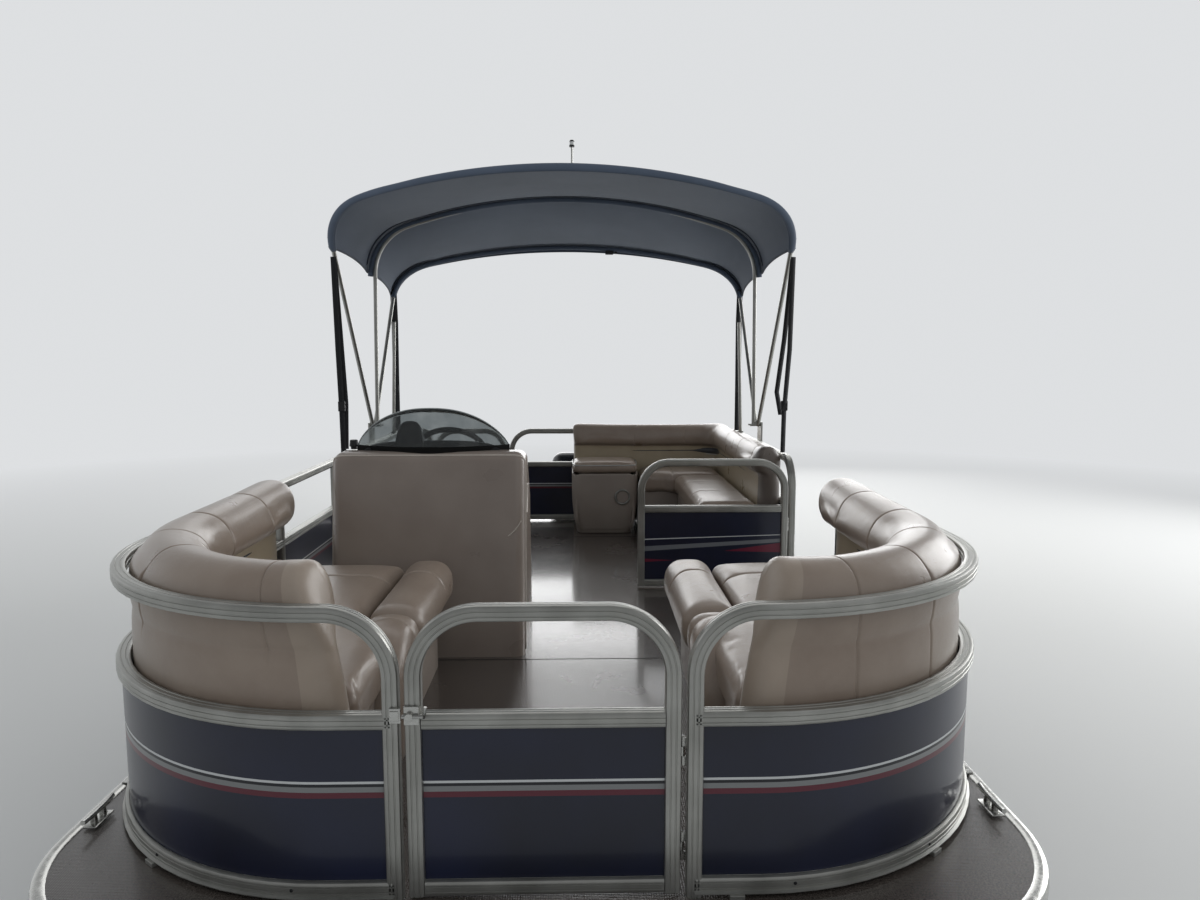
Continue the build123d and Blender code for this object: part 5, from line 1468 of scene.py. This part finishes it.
def mast():
    """The all-round light on the middle bow: a flanged foot, a slim pole and a lens under a cap."""
    foot = on_bow("mid", 0.040, BOWS["mid"][2] - 0.006)
    up = (on_bow("mid", 0.040, 2.0) - on_bow("mid", 0.040, 1.0)).normalized()

    def stack(name, finish, bosses, **settings):
        """A piece of bosses round the pole: height over its foot, radius, height of the boss, then as for disc()."""
        fitting(name, finish, "bimini_mid", bosses=[(at(*(foot + up * rise)), up, *sizes) for rise, *sizes in bosses],
                sharp=35, **settings)

    stack("mast_pole", "bright", ((BOW_R, 0.016, 0.010, 0.011, 24), (0, 0.0065, 0.345, None, 16)),
          stands_for=("light_mast",))
    stack("mast_cap", "black", ((0.338, 0.017, 0.010, None, 24), (0.370, 0.017, 0.009, 0.012, 24)))
    stack("mast_lens", "white", ((0.348, 0.014, 0.022, None, 24),))


# The CAD nodes that show as they are, by finish
CAD_FINISHES = {
    "skin": ("fence_skins", "bow_gate_skin", "stern_gate_skin"),
    "side_skin": ("side_gate_skin",),
    "mill": ("pontoon_port", "pontoon_starboard", "deck_framing", "motor_pod"),
    "deck": ("deck_floor",),
    "base": ("couch_base_port", "couch_base_starboard"),
    "rail": ("bimini_front_bow", "bimini_mid_bow", "bimini_rear_bow", "bimini_supports", "boarding_ladder",
             "ladder_brackets"),
    "enamel": ("motor_midsection", "motor_gearcase", "propeller", "motor_powerhead"),
    "powder": ("helm_pedestal", "motor_clamp", "motor_swivel"),
}


def finish_cad():
    for shade, nodes in CAD_FINISHES.items():
        for node in nodes:
            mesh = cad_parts[node].data
            mesh.materials.clear()
            mesh.materials.append(MATERIALS[shade])


BACKDROP = 0.92                                   # the backdrop's strength, where 1 is white
HAZE = colour(0xE6E8EA)                           # its colour


def any_ray(tree, ray, *kinds):
    """1 for a ray of any of these kinds, as the Light Path node tells them."""
    share = ray.outputs[kinds[0]]
    for kind in kinds[1:]:
        share = maths(tree, "MAXIMUM", share, ray.outputs[kind])
    return share


def shown(tree, ray, reflected):
    """The backdrop's own strength for what the camera sees, and another strength in reflections."""
    seen = any_ray(tree, ray, "Is Camera Ray", "Is Transmission Ray")
    return maths(tree, "MAXIMUM", maths(tree, "MULTIPLY", seen, BACKDROP), reflected)


def studio_floor():
    """A pale floor at the waterline, which turns into the backdrop with distance."""
    shade, tree, shader = material("studio_floor", 0xD9D9D6, Roughness=0.7)
    ray = add(tree, "LightPath")
    reach = add(tree, "VectorMath", {0: place_of(tree)}, operation="LENGTH")
    far = maths(tree, "MULTIPLY", spread(tree, reach.outputs["Value"], 4.0, 13.0),
                any_ray(tree, ray, "Is Camera Ray", "Is Glossy Ray"))
    along = add(tree, "SeparateXYZ", {"Vector": place_of(tree)})
    strength = shown(tree, ray, spread(tree, along.outputs["Y"], -6, 6, 0.35, BACKDROP))
    haze = add(tree, "Emission", {"Strength": strength}, Color=HAZE)
    paled = add(tree, "MixShader", {0: far, 1: shader.outputs[0], 2: haze.outputs[0]})
    tree.links.new(paled.outputs[0], tree.nodes["Material Output"].inputs["Surface"])
    bm = bmesh.new()
    bmesh.ops.create_grid(bm, x_segments=1, y_segments=1, size=40)
    bmesh.ops.translate(bm, verts=bm.verts, vec=(0, 0, WATER))
    mesh = bpy.data.meshes.new("studio_floor")
    bm.to_mesh(mesh)
    bm.free()
    floor = bpy.data.objects.new("studio_floor", mesh)
    mesh.materials.append(shade)
    bpy.context.scene.collection.objects.link(floor)


def studio_sky():
    """A plain backdrop for the camera, darker towards the bow in reflections, and an even sky for the light."""
    world = bpy.data.worlds.new("studio")
    bpy.context.scene.world = world
    world.use_nodes = True
    tree = world.node_tree
    lit_sky = tree.nodes["Background"]
    lit_sky.inputs["Color"].default_value, lit_sky.inputs["Strength"].default_value = colour(0xDDE1E6), 0.68
    ray = add(tree, "LightPath")
    way = add(tree, "SeparateXYZ", {"Vector": add(tree, "TexCoord").outputs["Generated"]})
    reflected = maths(tree, "MULTIPLY", spread(tree, way.outputs["Y"], -0.4, 0.5, 0.35, BACKDROP),
                      spread(tree, way.outputs["Z"], 0.25, 0.62, 1.0, 0.30))
    seen = add(tree, "Background", {"Strength": shown(tree, ray, reflected)}, Color=HAZE)
    direct = any_ray(tree, ray, "Is Camera Ray", "Is Glossy Ray", "Is Transmission Ray")
    blend = add(tree, "MixShader", {0: direct, 1: lit_sky.outputs[0], 2: seen.outputs[0]})
    tree.links.new(blend.outputs[0], tree.nodes["World Output"].inputs["Surface"])


# Softboxes: name, power, size, place and what they aim at
PANELS = (("sky_panel", 400, (12, 12), (0, 10, 9), (0, 0, 0.8)),
          ("stern_panel", 190, (9, 3), (1.5, 9, 2.9), (0, 0, 0.8)),
          ("port_panel", 230, (5, 4), (8, 3, 3.6), (0, 0, 0.8)),
          ("front_panel", 38, (7, 7), (5, -8, 6), (0, -1, 0.8)))


def lamps():
    """The backlit mood of the photo: strong panels above and behind the boat, a weak one in front."""
    for name, power, (wide, tall), place, aim in PANELS:
        lamp = bpy.data.lights.new(name, "AREA")
        lamp.energy, lamp.shape, lamp.size, lamp.size_y = power, "RECTANGLE", wide, tall
        lit = bpy.data.objects.new(name, lamp)
        lit.location = place
        lit.rotation_euler = (Vector(aim) - Vector(place)).to_track_quat("-Z", "Y").to_euler()
        lit.visible_camera = lit.visible_transmission = False
        bpy.context.scene.collection.objects.link(lit)


def camera():
    """The photo's camera, level but for a slight look down and to port."""
    data = bpy.data.cameras.new("camera")
    data.sensor_width = SENSOR
    data.lens = FOCAL_PX / IMAGE_W * SENSOR
    obj = bpy.data.objects.new("camera", data)
    obj.location = at(*CAMERA_AT)
    obj.rotation_euler = (pi / 2 - CAMERA_DOWN, 0, -CAMERA_TO_PORT)
    bpy.context.scene.collection.objects.link(obj)
    bpy.context.scene.camera = obj


for build in (camera, studio_floor, studio_sky, lamps, fences, gates, couches, lounge, lounge_base, end_block,
              helm_seat, canopy, straps, console, console_beads_and_painted_highlights, dash, throttle, steering_wheel, screen_fittings,
              deck_edge, cleats, corner_plates, gate_hardware, fence_feet, outboard, pontoon_seams, mast, finish_cad):
    build()
swell_all()
bpy.context.scene.view_settings.view_transform = "Standard"
